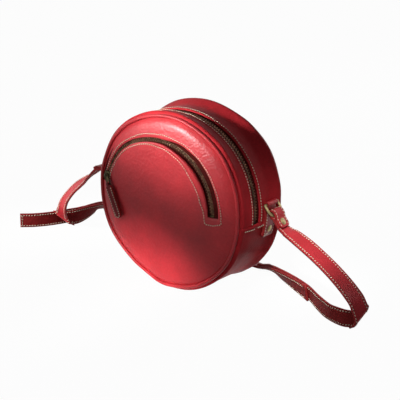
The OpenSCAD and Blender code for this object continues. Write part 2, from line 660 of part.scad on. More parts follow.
// Rolled leather edge on the panel along the inside of the slot
lip_d = 1.6;
module pocket_lip() {
    r = pocket_zip_r - pocket_slot_w / 2 - lip_d / 2 - gap;
    color("crimson") translate([pocket_x, -panel_front - gap, pocket_z]) rotate([90, 0, 0])
        rotate([0, 0, pocket_from_deg])
            rotate_extrude(angle = pocket_to_deg - pocket_from_deg - 2 * pocket_stop_deg, $fn = 120)
                translate([r, 0]) polygon([[-lip_d / 2, 0], [lip_d / 2, 0],
                    [lip_d * 0.3, lip_d / 2], [-lip_d * 0.3, lip_d / 2]]);
}
module pocket_bag() {
    back = -pocket_in + gap + pocket_depth;
    color("burlywood") difference() {
        band_y(0, pocket_bag_r, -pocket_in + pocket_bag_fall + gap, back);
        band_y(0, pocket_bag_r - lining_t, -pocket_in - over, back - lining_t);
    }
}
// The crescent slider lies flat on the front: out of the bag is -Y, along the zip is up
module at_pocket_slider() {
    on_crescent(pocket_rest_deg, pocket_zip_r, -pocket_teeth_y) rotate([0, 0, -90]) children();
}
module pocket_slider() {
    color("olive") at_pocket_slider() slider_body(pocket_pull_lean_deg - pocket_rest_deg);
}
module at_pocket_pin() {
    at_pocket_slider() translate([pin_h, 0, 0])
        rotate([pocket_pull_lean_deg - pocket_rest_deg, 0, 0]) children();
}
module pocket_pull() { color("olive") at_pocket_pin() pull_body(); }
module pocket_pull_tab() { color("darkred") at_pocket_pin() pull_tab_body(pull_tab_len); }

// Lining
lining_front = -pocket_in + 2 * gap + pocket_depth;
lining_back = pocket_in - 2 * gap - board_t;
module lining_drum(r, z_low, y_from, y_to) {
    intersection() {
        band_y(0, r, y_from, y_to);
        above(z_low);
    }
}
module side_lining() {
    slot = chain_w / 2 + tape_w - 3 * over;
    color("burlywood") difference() {
        lining_drum(lining_out_r, leather_t + gap, lining_front, half_d - piping_d);
        lining_drum(lining_in_r, leather_t + gap + lining_t, lining_front - over, half_d);
        band_y(lining_in_r - over, lining_out_r + over, zip_y - slot, zip_y + slot,
            -zip_end_deg, 180 + 2 * zip_end_deg);
    }
}
module front_lining() {
    color("burlywood") lining_drum(lining_in_r - gap, leather_t + 2 * gap + lining_t,
        lining_front, lining_front + lining_t);
}
module back_lining() {
    color("burlywood") lining_drum(flat_r, leather_t + gap, lining_back - lining_t, lining_back);
}

// Tabs and rings, on the right for side 1 and on the left for side -1
module sided(side) {
    if (side > 0) children();
    else mirror([1, 0, 0]) children();
}
module tab(side) {
    sided(side) difference() {
        union() {
            band_y(bag_r + gap, bag_r + gap + 2 * tab_t, tab_back - tab_w / 2, tab_back + tab_w / 2,
                tab_tail_deg, tab_end_deg - tab_tail_deg);
            translate([bar_x, tab_back, bar_z]) rotate([90, 0, 0])
                cylinder(r = tab_tube_r, h = tab_w - 2 * gap, center = true);
        }
        translate([bar_x, tab_back, bar_z]) rotate([90, 0, 0])
            cylinder(r = tab_bore_r, h = tab_w + over, center = true);
        tab_rivet_axis() cylinder(r = rivet_r + gap, h = 4 * tab_t + over, center = true);
    }
}
module tab_rivet_axis() {
    on_side(tab_rivet_deg, bag_r + gap + tab_t, tab_back) rotate([0, 90, 0]) children();
}
module tab_rivet_holes() {
    for (side = [-1, 1]) sided(side) tab_rivet_axis()
        cylinder(r = rivet_r + gap, h = 6 * leather_t, center = true);
}
module right_tab() { color("firebrick") tab(1); }
module left_tab() { color("firebrick") tab(-1); }
// A domed cap, its flat side down
module rivet_cap(d, h) {
    dome_r = (d * d / 4 + h * h) / (2 * h);
    rotate_extrude() intersection() {
        translate([0, h - dome_r]) circle(r = dome_r, $fn = 96);
        square([d, h]);
    }
}
module tab_rivets() {
    top = tab_t + 2 * gap;
    back = -tab_t - gap - leather_t - gap;
    color("darkgoldenrod") for (side = [-1, 1]) sided(side) tab_rivet_axis() {
        translate([0, 0, top]) rivet_cap(rivet_cap_d, rivet_cap_h);
        translate([0, 0, back]) cylinder(r = rivet_r, h = top - back + gap);
        translate([0, 0, back - lining_t / 2]) cylinder(r = rivet_back_r, h = lining_t / 2);
    }
}
// A D-ring hanging down -Z from its straight bar along Y
module ring_body() {
    half = ring_mid_w / 2;
    leg = ring_h - ring_corner;
    rotate([90, 0, 0]) cylinder(r = ring_r, h = ring_mid_w, center = true);
    for (s = [-1, 1]) {
        translate([0, s * half, 0]) sphere(r = ring_r);
        translate([0, s * half, -leg]) cylinder(r = ring_r, h = leg);
        translate([0, s * (half - ring_corner), -leg]) rotate([0, 90, 0])
            rotate([0, 0, s > 0 ? 0 : -90]) rotate_extrude(angle = 90)
                translate([ring_corner, 0]) circle(r = ring_r);
    }
    translate([0, 0, -ring_h]) rotate([90, 0, 0])
        cylinder(r = ring_r, h = ring_mid_w - 2 * ring_corner, center = true);
}
module at_ring(side, drop) {
    sided(side) translate([bar_x, tab_back, bar_z]) rotate([0, drop - 90, 0]) children();
}
module right_ring() { color("darkgoldenrod") at_ring(1, right_ring_drop_deg) ring_body(); }
module left_ring() { color("darkgoldenrod") at_ring(-1, -left_ring_rise_deg) ring_body(); }

// Strap rivets: a domed cap outside, a shank through both plies and a flat cap inside
module strap_rivet(a) {
    face_b = ply_close + strap_t / 2 + gap;
    translate([0, 0, -a]) rotate([0, 90, 0]) {
        translate([0, 0, face_b]) rivet_cap(rivet_cap_d, rivet_cap_h);
        translate([0, 0, -face_b - rivet_cap_h / 2]) cylinder(r = rivet_r, h = 2 * face_b + rivet_cap_h);
        translate([0, 0, -face_b - rivet_cap_h]) cylinder(d = rivet_cap_d, h = rivet_cap_h);
    }
}
module strap_rivet_hole(a) {
    translate([0, 0, -a]) rotate([0, 90, 0]) cylinder(r = rivet_r + gap, h = 6 * strap_t, center = true);
}
module right_strap_rivet() {
    color("darkgoldenrod") at_ring(1, right_ring_drop_deg) strap_rivet(right_rivet_a);
}
module left_strap_rivet() {
    color("darkgoldenrod") at_ring(-1, -left_ring_rise_deg) strap_rivet(left_rivet_a);
}

// Straps
module right_strap() {
    color("crimson") difference() {
        strap_along(right_path, strap_w, strap_t);
        at_ring(1, right_ring_drop_deg) strap_rivet_hole(right_rivet_a);
    }
}
// Local frame of the buckle: X from the heel bar towards the far bar, Z up
module at_buckle() {
    translate([heel_x, heel_y, 0]) rotate([0, 0, rear_slope_deg]) children();
}
module left_strap() {
    color("crimson") difference() {
        strap_along(left_path, strap_w, strap_t);
        at_ring(-1, -left_ring_rise_deg) strap_rivet_hole(left_rivet_a);
        at_buckle() translate([-prong_slot_w, -prong_slot_w / 2, -over])
            cube([prong_slot_w + heel_ply + strap_t, prong_slot_w,
                heel_z + heel_ply + strap_t + over]);
        at_buckle() translate([-buckle_fold * 0.7, 0, 0])
            cylinder(r = rivet_r + gap, h = 6 * strap_t, center = true);
    }
}
module punched_strap() {
    n = len(punched_path);
    color("crimson") difference() {
        strap_along(punched_path, strap_w, strap_t);
        at_buckle() translate([buckle_len * 0.12, -prong_r - 3 * gap, -over])
            cube([buckle_len * 0.7, 2 * (prong_r + 3 * gap), 4 * heel_z]);
        for (k = [1:4]) let (i = n - 1 - round(k * strap_hole_pitch / tail_row_len)) strap_hole(punched_path, i);
    }
}
module strap_hole(path, i) {
    f = face(path, i);
    translate(pos3(path[i])) rotate([0, acos(f[2]), atan2(f[1], f[0])])
        cylinder(d = strap_hole_d, h = 3 * strap_t, center = true);
}
module strap_keeper() {
    inner_w = strap_w + 4 * gap;
    inner_h = 2 * strap_t + 6 * gap;
    color("firebrick") at_buckle() translate([keeper_u, 0, keeper_t + inner_h / 2]) difference() {
        cube([keeper_w, inner_w + 2 * keeper_t, inner_h + 2 * keeper_t], center = true);
        cube([keeper_w + over, inner_w, inner_h], center = true);
    }
}
module buckle_frame() {
    side = buckle_len - 2 * buckle_corner;
    width = 2 * (buckle_half_w - buckle_corner);
    color("darkgoldenrod") at_buckle() translate([0, 0, heel_z]) {
        for (x = [0, buckle_len]) translate([x, 0, 0]) rotate([90, 0, 0])
            cylinder(r = heel_r, h = width, center = true);
        for (y = [-buckle_half_w, buckle_half_w]) translate([buckle_len / 2, y, 0]) rotate([0, 90, 0])
            cylinder(r = heel_r, h = side, center = true);
        for (x = [0, 1], y = [0, 1])
            translate([x * side + buckle_corner, (2 * y - 1) * (buckle_half_w - buckle_corner), 0])
                rotate([0, 0, x == 1 ? (y == 1 ? 0 : -90) : (y == 1 ? 90 : 180)])
                    rotate_extrude(angle = 90) translate([buckle_corner, 0]) circle(r = heel_r);
    }
}
module buckle_prong() {
    eye_r = heel_r + run + prong_r;
    tip = buckle_len + heel_r + prong_r / 2;
    rise = atan2(heel_r + gap / 4 + prong_r - prong_r * 0.6, buckle_len);
    color("darkgoldenrod") at_buckle() translate([0, 0, heel_z]) difference() {
        union() {
            rotate([90, 0, 0]) cylinder(r = eye_r, h = prong_w, center = true);
            translate([0, 0, prong_r * 0.6]) rotate([0, 90 - rise, 0]) cylinder(r = prong_r, h = tip);
            translate([0, 0, prong_r * 0.6]) rotate([0, 90 - rise, 0]) translate([0, 0, tip])
                sphere(r = prong_r);
        }
        rotate([90, 0, 0]) cylinder(r = heel_r + run, h = prong_w + over, center = true);
    }
}
module buckle_rivet() {
    color("darkgoldenrod") at_buckle() translate([-buckle_fold * 0.7, 0, 0]) {
        translate([0, 0, gap]) cylinder(r = rivet_r, h = main_ply_z + strap_t / 2 - gap / 2);
    }
}

front_panel();
front_piping();
front_zip_strip();
rear_zip_strip();
bottom_gusset();
back_panel();
rear_piping();
back_stiffener();
main_tape_front();
main_tape_rear();
main_teeth_front();
main_teeth_rear();
main_zip_stops();
main_slider();
main_pull();
main_pull_tab();
pocket_tape_outer();
pocket_tape_inner();
pocket_teeth_outer();
pocket_teeth_inner();
pocket_zip_stops();
pocket_lip();
pocket_bag();
pocket_slider();
pocket_pull();
pocket_pull_tab();
front_lining();
side_lining();
back_lining();
right_tab();
left_tab();
tab_rivets();
right_ring();
left_ring();
right_strap();
left_strap();
punched_strap();
right_strap_rivet();
left_strap_rivet();
strap_keeper();
buckle_frame();
buckle_prong();
buckle_rivet();
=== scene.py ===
"""Round leather shoulder bag: leather, zips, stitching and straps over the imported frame."""

import math

import bmesh
import bpy
from mathutils import Matrix, Vector, noise


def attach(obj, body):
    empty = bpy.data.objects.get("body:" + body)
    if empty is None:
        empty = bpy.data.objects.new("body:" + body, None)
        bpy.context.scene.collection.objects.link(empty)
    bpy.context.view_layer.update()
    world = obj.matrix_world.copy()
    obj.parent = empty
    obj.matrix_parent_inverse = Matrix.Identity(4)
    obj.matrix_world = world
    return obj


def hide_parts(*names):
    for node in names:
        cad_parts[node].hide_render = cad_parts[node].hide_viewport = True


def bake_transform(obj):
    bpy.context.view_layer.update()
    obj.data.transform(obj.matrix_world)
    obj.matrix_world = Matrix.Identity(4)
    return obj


bl_info = {
    "name": "Circle bag",
    "version": (1, 0, 0),
    "blender": (4, 2, 0),
    "location": "View3D > Sidebar > Circle bag",
    "description": "Dresses the circle bag's frame with leather, zips, stitching and straps",
    "category": "Object",
}

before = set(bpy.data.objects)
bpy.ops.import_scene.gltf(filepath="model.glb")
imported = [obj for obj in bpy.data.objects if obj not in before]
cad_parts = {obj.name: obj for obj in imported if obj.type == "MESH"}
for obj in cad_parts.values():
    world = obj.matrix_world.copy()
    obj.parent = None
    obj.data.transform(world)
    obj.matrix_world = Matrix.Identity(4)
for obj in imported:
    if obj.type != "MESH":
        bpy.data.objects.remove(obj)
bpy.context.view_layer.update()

# Shapes are worked out in millimetres, and a finished piece is scaled to metres.
MM = 0.001
# Height of the drum's middle, and the depth of the main chain
BAG_Z = 98.0
MIDDLE = Vector((0, 0, BAG_Z))
ZIP_Y = -10.0
# Centre and radius of the crescent zip's middle line, and the angle of its left end
POCKET = Vector((-11.7, 0, 94.7))
POCKET_R = 73.8
POCKET_TO = 166.5
# Radius of the panels' edge under the pipings, and angles of the seams below the main zip
PANEL_R = 94.8
SEAM_FROM, SEAM_TO = 186.6, 353.4
# Material slots of a strap's mesh: painted edge, stitching and inner face (partly painted shade)
PAINTED, SEWN, BACK_AND_SHADE = 1, 2, 4


# ---- what a user may change

class BagSizes(bpy.types.PropertyGroup):
    """Sizes of the bag's leather and stitching."""
    strap_width: bpy.props.FloatProperty(
        name="Strap width", description="Width of the shoulder strap",
        default=0.018, unit="LENGTH")
    strap_thickness: bpy.props.FloatProperty(
        name="Strap thickness", description="Thickness of the doubled strap leather",
        default=0.0026, unit="LENGTH")
    leather: bpy.props.FloatProperty(
        name="Leather", description="Thickness of the body leather",
        default=0.0016, unit="LENGTH")
    stitch_pitch: bpy.props.FloatProperty(
        name="Stitch pitch", description="Distance from one stitch to the next",
        default=0.0032, unit="LENGTH")
    thread: bpy.props.FloatProperty(
        name="Thread", description="Thickness of the sewing thread",
        default=0.00115, unit="LENGTH")
    tooth_pitch: bpy.props.FloatProperty(
        name="Tooth pitch", description="Distance between two teeth on one tape",
        default=0.0032, unit="LENGTH")


class BagColours(bpy.types.PropertyGroup):
    """Colours of the bag's leather, thread, cloth and metal."""
    leather: bpy.props.FloatVectorProperty(
        name="Body leather", description="Colour of the body leather",
        default=(0.46, 0.024, 0.031), size=3, subtype="COLOR")
    strap: bpy.props.FloatVectorProperty(
        name="Strap leather", description="Colour of the strap leather",
        default=(0.49, 0.032, 0.040), size=3, subtype="COLOR")
    # the strap's inner face: rougher, and darker in part as painted shade
    inner: bpy.props.FloatVectorProperty(
        name="Strap back", description="Colour of the strap's inner face",
        default=(0.24, 0.020, 0.020), size=3, subtype="COLOR")
    edge: bpy.props.FloatVectorProperty(
        name="Painted edge", description="Colour of the painted leather edges",
        default=(0.36, 0.030, 0.030), size=3, subtype="COLOR")
    thread: bpy.props.FloatVectorProperty(
        name="Thread", description="Colour of the sewing thread",
        default=(0.92, 0.72, 0.56), size=3, subtype="COLOR")
    tape: bpy.props.FloatVectorProperty(
        name="Zip tape", description="Colour of the woven zip tape",
        default=(0.075, 0.006, 0.005), size=3, subtype="COLOR")
    brass: bpy.props.FloatVectorProperty(
        name="Old brass", description="Colour of the rings, rivets and buckle",
        default=(0.33, 0.25, 0.12), size=3, subtype="COLOR")
    lining: bpy.props.FloatVectorProperty(
        name="Lining", description="Colour of the lining cloth",
        default=(0.30, 0.20, 0.12), size=3, subtype="COLOR")


def sizes():
    return bpy.context.scene.circle_bag_sizes


def colours():
    return bpy.context.scene.circle_bag_colours


# ---- shader maths

class Shade:
    """A socket in a material's nodes. Sums and products of values add Math nodes."""

    def __init__(self, tree, socket=None):
        self.tree, self.socket = tree, socket

    def node(self, kind, settings=None, inputs=None, output=0):
        """One output of a new node, after its settings and its inputs' values or links are set."""
        made = self.tree.nodes.new("ShaderNode" + kind)
        for name, value in (settings or {}).items():
            setattr(made, name, value)
        for name, value in (inputs or {}).items():
            if isinstance(value, Shade):
                self.tree.links.new(value.socket, made.inputs[name])
            else:
                made.inputs[name].default_value = value
        return Shade(self.tree, made.outputs[output])

    def maths(self, operation, a, b=0.0, clamp=False):
        return self.node("Math", {"operation": operation, "use_clamp": clamp}, {0: a, 1: b})

    def mix(self, a, b):
        """Colour a where this is 0 and colour b where it is 1."""
        a, b = ((*c, 1) if isinstance(c, (tuple, list)) else c for c in (a, b))
        return self.node("Mix", {"data_type": "RGBA"}, {0: self, 6: a, 7: b}, 2)

    def cloud(self, scale, detail, **more):
        """Cloudy noise at this place."""
        return self.node("TexNoise", {}, {"Vector": self, "Scale": scale, "Detail": detail, **more})

    def bump(self, strength, distance):
        """The normal of a surface with this height."""
        return self.node("Bump", {}, {"Height": self, "Strength": strength, "Distance": distance})

    def between(self, low, high):
        return ((self - low) / (high - low)).clamped()

    def clamped(self):
        return self.maths("ADD", self, 0.0, clamp=True)

    def __abs__(self):
        return self.maths("ABSOLUTE", self)

    def __add__(self, other):
        return self.maths("ADD", self, other)

    def __radd__(self, other):
        return self.maths("ADD", other, self)

    def __sub__(self, other):
        return self.maths("SUBTRACT", self, other)

    def __rsub__(self, other):
        return self.maths("SUBTRACT", other, self)

    def __mul__(self, other):
        return self.maths("MULTIPLY", self, other)

    def __rmul__(self, other):
        return self.maths("MULTIPLY", other, self)

    def __truediv__(self, other):
        return self.maths("DIVIDE", self, other)

    def __rtruediv__(self, other):
        return self.maths("DIVIDE", other, self)


def new_material(name, constants):
    """A material with its shader's constants set, its shader and the piece's own coordinates."""
    material = bpy.data.materials.new(name)
    material.use_nodes = True
    shader = material.node_tree.nodes["Principled BSDF"]
    for socket, value in constants.items():
        shader.inputs[socket].default_value = value
    return material, shader, Shade(material.node_tree).node("TexCoord", output=3)


def feed(shader, colour, **sockets):
    """Links a colour and values to the shader's inputs of those names."""
    for name, value in {"base color": colour, **sockets}.items():
        value.tree.links.new(value.socket, shader.inputs[name.title()])


def tinted(colour, factor):
    return tuple(min(1.0, c * factor) for c in colour)


def leather(name, colour, grain=1.0, roughness=0.38, coat=0.12, depth=1.0, shine=0.18):
    """Smooth aniline leather: pebble grain, faint creases, uneven dye and a soft polish. The
    colour darkens along the creases as painted shade.
    """
    material, shader, place = new_material(name, {
        "Coat Weight": coat, "Coat Roughness": 0.28, "Specular IOR Level": shine})
    cloud = place.cloud(26.0, 4.0, Roughness=0.55)
    fine = place.cloud(420.0 * grain, 3.0, Roughness=0.6)
    pebble = place.node("TexVoronoi", {"feature": "SMOOTH_F1"},
                        {"Vector": place, "Scale": 330.0 * grain, "Smoothness": 0.3})
    crease = place.cloud(75.0, 6.0, Roughness=0.62, Distortion=1.2)
    lines = (1.0 - abs(crease - 0.5) * 9.0).clamped()
    dye = cloud.between(0.34, 0.68).mix(tinted(colour, 0.80), tinted(colour, 1.14))
    dye = (fine.between(0.3, 0.75) * 0.22).mix(dye, tinted(colour, 1.35))
    # painted shade: the colour darkens along the crease grooves
    dye = (lines * 0.14).mix(dye, tinted(colour, 0.55))
    height = fine * 0.45 + pebble * 0.85 - lines * 0.28
    feed(shader, dye, normal=height.bump(0.5 * depth, 0.0006),
         roughness=cloud.between(0.3, 0.7) * 0.10 + fine * 0.10 + (roughness - 0.10))
    return material


def painted_edge(name, colour):
    """Edge paint on cut leather, worn in places."""
    material, shader, place = new_material(name, {
        "Coat Weight": 0.02, "Coat Roughness": 0.3, "Specular IOR Level": 0.06})
    wear = place.cloud(190.0, 4.0)
    feed(shader, wear.between(0.42, 0.7).mix(colour, tinted(colour, 0.62)),
         normal=wear.bump(0.22, 0.0003), roughness=wear * 0.25 + 0.34)
    return material


def thread(name, colour):
    """Waxed linen thread with fine fibres."""
    material, shader, place = new_material(name, {"Specular IOR Level": 0.15})
    fibre, tone = place.cloud(2600.0, 2.0), place.cloud(60.0, 2.0)
    dye = tone.between(0.35, 0.65).mix(tinted(colour, 0.72), colour)
    dye = (fibre.between(0.4, 0.7) * 0.4).mix(dye, tinted(colour, 0.5))
    feed(shader, dye, normal=fibre.bump(0.5, 0.0001), roughness=fibre * 0.2 + 0.5)
    return material


def woven(name, colour, pitch, sheen):
    """Plain woven cloth: two crossing sets of ribs and a few darker yarns."""
    material, shader, place = new_material(name, {
        "Sheen Weight": sheen, "Sheen Roughness": 0.5, "Specular IOR Level": 0.06})
    ribs = [place.node("TexWave", {"bands_direction": way},
                       {"Vector": place, "Scale": pitch, "Distortion": 0.6, "Detail": 1.0,
                        "Detail Scale": 6.0}, 1) for way in ("DIAGONAL", "Z")]
    yarn = place.cloud(300.0, 3.0)
    weave = ribs[0] * ribs[1]
    dye = weave.mix(tinted(colour, 0.6), tinted(colour, 1.3))
    dye = (yarn.between(0.45, 0.7) * 0.4).mix(dye, tinted(colour, 0.55))
    feed(shader, dye, normal=(weave + yarn * 0.4).bump(0.5, 0.0003), roughness=yarn * 0.2 + 0.72)
    return material


def old_brass(name, colour, roughness):
    """Antiqued brass: dark film, lighter where hands rub it, fine scratches."""
    material, shader, place = new_material(name, {})
    film = place.cloud(210.0, 5.0, Roughness=0.6)
    drawn = place.node("Mapping", {}, {"Vector": place, "Scale": (260.0, 2600.0, 500.0)})
    scratch = drawn.cloud(1.0, 2.0)
    mask = film.between(0.38, 0.66)
    feed(shader, mask.mix(tinted(colour, 0.42), tinted(colour, 1.45)),
         normal=(film * 0.6 + scratch * 0.5).bump(0.12, 0.0002), metallic=mask * 0.12 + 0.86,
         roughness=roughness + scratch * 0.10 - mask * 0.10 + 0.08)
    return material


def fibre_board(name):
    """Pressed board with flecks."""
    material, shader, place = new_material(name, {"Specular IOR Level": 0.3})
    fleck = place.cloud(700.0, 3.0)
    feed(shader, fleck.between(0.4, 0.65).mix((0.28, 0.22, 0.15), (0.42, 0.34, 0.24)),
         normal=fleck.bump(0.3, 0.0002), roughness=fleck * 0.2 + 0.65)
    return material


FINISHES = {}


def finish(name):
    """The finish of that name, made once."""
    if name in FINISHES:
        return FINISHES[name]
    c = colours()
    hide, strap, brass = tuple(c.leather), tuple(c.strap), tuple(c.brass)
    # the numbers after a leather's colour are its grain, roughness, coat, depth and shine
    makers = {
        "bag_hide": lambda: leather(name, hide),
        "side_hide": lambda: leather(name, hide, roughness=0.44, coat=0.0, depth=0.8, shine=0.03),
        "piping_hide": lambda: leather(name, tinted(hide, 0.95), 1.2, 0.34, 0.08, 0.8),
        "strap_hide": lambda: leather(name, strap, 1.1, 0.40, 0.06, shine=0.10),
        # the strap's inner face: rougher, and its darker colour is partly painted shade
        "strap_back_and_shade": lambda: leather(name, tuple(c.inner), 0.9, 0.55, 0.0, 1.2, 0.04),
        # the pulls' leather: darker than the strap, partly as painted shade
        "pull_leather_and_shade": lambda: leather(name, tinted(strap, 0.26), 1.0, 0.45, 0.05, shine=0.08),
        # painted shade: a near-black copy of the body leather for the discs in the stitch holes
        "stitch_hole_shade": lambda: leather(name, tinted(hide, 0.16), 1.0, 0.6, 0.0, 0.5, 0.0),
        "painted_edge": lambda: painted_edge(name, tuple(c.edge)),
        "waxed_thread": lambda: thread(name, tuple(c.thread)),
        "zip_weave": lambda: woven(name, tuple(c.tape), 900.0, 0.0),
        "lining_cloth": lambda: woven(name, tuple(c.lining), 620.0, 0.4),
        "ring_brass": lambda: old_brass(name, brass, 0.34),
        "tooth_brass": lambda: old_brass(name, (0.17, 0.085, 0.05), 0.38),
        "slider_brass": lambda: old_brass(name, tinted(brass, 0.16), 0.42),
        "fibre_board": lambda: fibre_board(name),
    }
    FINISHES[name] = makers[name]()
    return FINISHES[name]


# ---- shape helpers

def smooth(x):
    x = max(0.0, min(1.0, x))
    return x * x * (3 - 2 * x)


def eased(table, x, ease=smooth):
    """Value between the rows (place, value) of a table."""
    if x <= table[0][0]:
        return table[0][1]
    for (a, u), (b, v) in zip(table, table[1:]):
        if x <= b:
            return u + (v - u) * ease((x - a) / (b - a))
    return table[-1][1]


def smooth_line(points, steps):
    """A smooth curve through points of any number of values, with steps between two of them."""
    out = []
    last = len(points) - 1
    for i in range(last):
        a, b, c, d = (points[max(0, min(last, i + k))] for k in (-1, 0, 1, 2))
        for k in range(steps):
            u = k / steps
            out.append([(2 * q + (r - p) * u + (2 * p - 5 * q + 4 * r - s) * u * u
                         + (3 * q - p - 3 * r + s) * u ** 3) / 2
                        for p, q, r, s in zip(a, b, c, d)])
    out.append(list(points[last]))
    return out


# How far the front rim is out of round, by angle from the right, anticlockwise
FRONT_RIM = [(0, -2.6), (45, 0.4), (90, 1.9), (135, 2.4), (160, 0.2), (180, -2.2), (205, -3.6),
             (230, -5.8), (246, -5.4), (270, -0.6), (315, 0.0), (360, -2.6)]
# The same for the back rim, which swells further out
BACK_RIM = [(0, 3.4), (15, 5.0), (35, 7.0), (52, 6.2), (70, 4.8), (90, 5.2), (110, 5.6),
            (140, 3.6), (180, 1.0), (235, -1.4), (270, 0.0), (288, 0.8), (304, 2.6), (318, 4.2),
            (333, 4.8), (346, 4.2), (360, 3.4)]


def settled(p):
    """Eases a point of the bag's skin out of round at its rims and onto the surface, where the
    skin's inner side stays 1.4 mm up."""
    off = Vector((p[0], 0, p[2] - BAG_Z))
    r = off.length
    if r < 1e-6:
        return Vector(p)
    turn = math.degrees(math.atan2(off.z, off.x)) % 360
    # the middle of the panels and the leather beside the zip keep their place
    rim = smooth((r - 66) / 26)
    push = eased(FRONT_RIM, turn) * smooth((-17 - p[1]) / 18)
    push += eased(BACK_RIM, turn) * smooth((p[1] - 14) / 21)
    push += 0.5 * noise.noise(Vector((p[0] * 0.03, p[1] * 0.05, p[2] * 0.03)))
    out = off * ((r + rim * push) / r)
    return Vector((out.x, p[1], max(out.z + BAG_Z, 1.4 if 98 < r < 99 else 0.0)))


def spun(profile, start=0.0, sweep=360.0, steps=180, closed=True, centre=MIDDLE):
    """Turns a profile of (radius, depth) points round an axis along Y."""
    bm = bmesh.new()
    a = math.radians(start)
    verts = [bm.verts.new((centre.x + r * math.cos(a), y, centre.z + r * math.sin(a)))
             for r, y in profile]
    pairs = list(zip(verts, verts[1:])) + ([(verts[-1], verts[0])] if closed else [])
    edges = [bm.edges.new(pair) for pair in pairs]
    full = abs(sweep) >= 360
    bmesh.ops.spin(bm, geom=verts + edges, cent=centre, axis=(0, -1, 0),
                   angle=math.radians(sweep), steps=steps, use_merge=full)
    if closed and not full:
        bmesh.ops.holes_fill(bm, edges=[e for e in bm.edges if e.is_boundary])
    bmesh.ops.remove_doubles(bm, verts=bm.verts, dist=1e-4)
    return bm


def settle(bm):
    for v in bm.verts:
        v.co = settled(v.co)


def make_piece(bm, name, materials, body="bag", nodes=(), fix=True):
    """Turns millimetres to metres, makes the object, and says what it rides on and replaces."""
    if fix:
        bmesh.ops.recalc_face_normals(bm, faces=bm.faces)
    bmesh.ops.scale(bm, vec=(MM, MM, MM), verts=bm.verts)
    mesh = bpy.data.meshes.new(name)
    bm.to_mesh(mesh)
    bm.free()
    for polygon in mesh.polygons:
        polygon.use_smooth = True
    piece = bpy.data.objects.new(name, mesh)
    bpy.context.scene.collection.objects.link(piece)
    for material in materials:
        mesh.materials.append(finish(material))
    if body:
        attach(piece, body)
    if nodes:
        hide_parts(*nodes)
    return piece


def rounded(piece, width):
    """A live bevel over a piece's hard edges."""
    bevel = piece.modifiers.new("edges", "BEVEL")
    bevel.width = width * MM
    bevel.segments = 2
    bevel.limit_method = "ANGLE"
    bevel.angle_limit = math.radians(35)
    bevel.harden_normals = False


def add_all(bm, makers, slot_index=0, batch=40):
    """Makes many small shapes, a batch at a time, and adds them to a mesh."""
    for first in range(0, len(makers), batch):
        part = bmesh.new()
        for make in makers[first:first + batch]:
            make(part)
        for face in part.faces:
            face.material_index = slot_index
        mesh = bpy.data.meshes.new("part")
        part.to_mesh(mesh)
        part.free()
        bm.from_mesh(mesh)
        bpy.data.meshes.remove(mesh)


# Height of a seam over the leather, a stitch's lean in radians and its share of the pitch
SEWN_LIFT, STITCH_SKEW, STITCH_SHARE = 0.05, 0.16, 0.72


def stitch(place, along, up, length, thick):
    """A maker of one raised stitch: a small spindle that lies a little askew along the seam."""
    along = (Matrix.Rotation(STITCH_SKEW, 3, up) @ along).normalized()
    side = up.cross(along).normalized()
    turn = Matrix((side, up, along)).transposed().to_4x4()
    shape = Matrix.Diagonal((thick * 0.56, thick * 0.42, length / 2, 1))
    at = Matrix.Translation(place + up * thick * 0.14) @ turn @ shape
    return lambda part: bmesh.ops.create_uvsphere(part, u_segments=6, v_segments=4, radius=1.0,
                                                  matrix=at)


def stitch_hole_shade(place, along, up, thick):
    """A maker of a flat dark disc: painted shade for the dimple that a stitch goes down into."""
    side = up.cross(along).normalized()
    at = Matrix.Translation(place + up * 0.06) @ Matrix((side, along, up)).transposed().to_4x4()
    return lambda part: bmesh.ops.create_circle(part, cap_ends=True, segments=6,
                                                radius=thick * 0.40, matrix=at)


def stitch_row(bm, points, ups, slot_index=0, pitch=3.2):
    """Stitches at an even pitch along a line of points, with the way out of the leather at each.
    The pitch is for stitches of usual length, and follows the user's."""
    pitch *= sizes().stitch_pitch / (3.2 * MM)
    total = sum((b - a).length for a, b in zip(points, points[1:]))
    step = total / max(1, round(total / pitch))
    want, done = step / 2, 0.0
    thick, makers, hole_shades = sizes().thread / MM, [], []
    for a, b, up in zip(points, points[1:], ups):
        length = (b - a).length
        while length > 1e-6 and want <= done + length:
            way = (b - a) / length
            flat = (up - way * up.dot(way)).normalized()
            place = a + way * (want - done)
            makers.append(stitch(place, way, flat, step * STITCH_SHARE, thick))
            hole_shades.append(stitch_hole_shade(place + way * step / 2, way, flat, thick))
            want += step
        done += length
    add_all(bm, makers, slot_index)
    # the dark discs between the stitches are painted shade for their holes
    add_all(bm, hole_shades[:-1], slot_index + 1)


def sweep(bm, outline, frames, painted, inner=(), inner_from=0):
    """Extrudes an outline along frames (place, half width, half thickness). The outline's edges
    numbered in painted are painted, and those in inner get the inner face's darker material,
    partly painted shade, from the frame numbered inner_from on."""
    def at(frame_row, u, v):
        place, half, face = frame_row
        return place + half * u + face * v
    loop = [bm.verts.new(at(frames[0], u, v)) for u, v in outline]
    n = len(loop)
    ring = [bm.edges.new((loop[i], loop[(i + 1) % n])) for i in range(n)]
    for number, row in enumerate(frames[1:]):
        made = bmesh.ops.extrude_edge_only(bm, edges=ring)["geom"]
        fresh = {g for g in made if isinstance(g, bmesh.types.BMVert)}
        following = []
        for old in loop:
            following.append(next(e.other_vert(old) for e in old.link_edges
                                  if e.other_vert(old) in fresh))
        for v, (a, b) in zip(following, outline):
            v.co = at(row, a, b)
        for i, edge in enumerate(ring):
            for face in edge.link_faces:
                face.material_index = (PAINTED if i in painted else BACK_AND_SHADE
                                       if i in inner and number >= inner_from else 0)
        ring = [bm.edges.get((following[i], following[(i + 1) % n])) for i in range(n)]
        loop = following
    rims = [edge for edge in bm.edges if edge.is_boundary]
    for face in bmesh.ops.holes_fill(bm, edges=rims)["faces"]:
        face.material_index = PAINTED


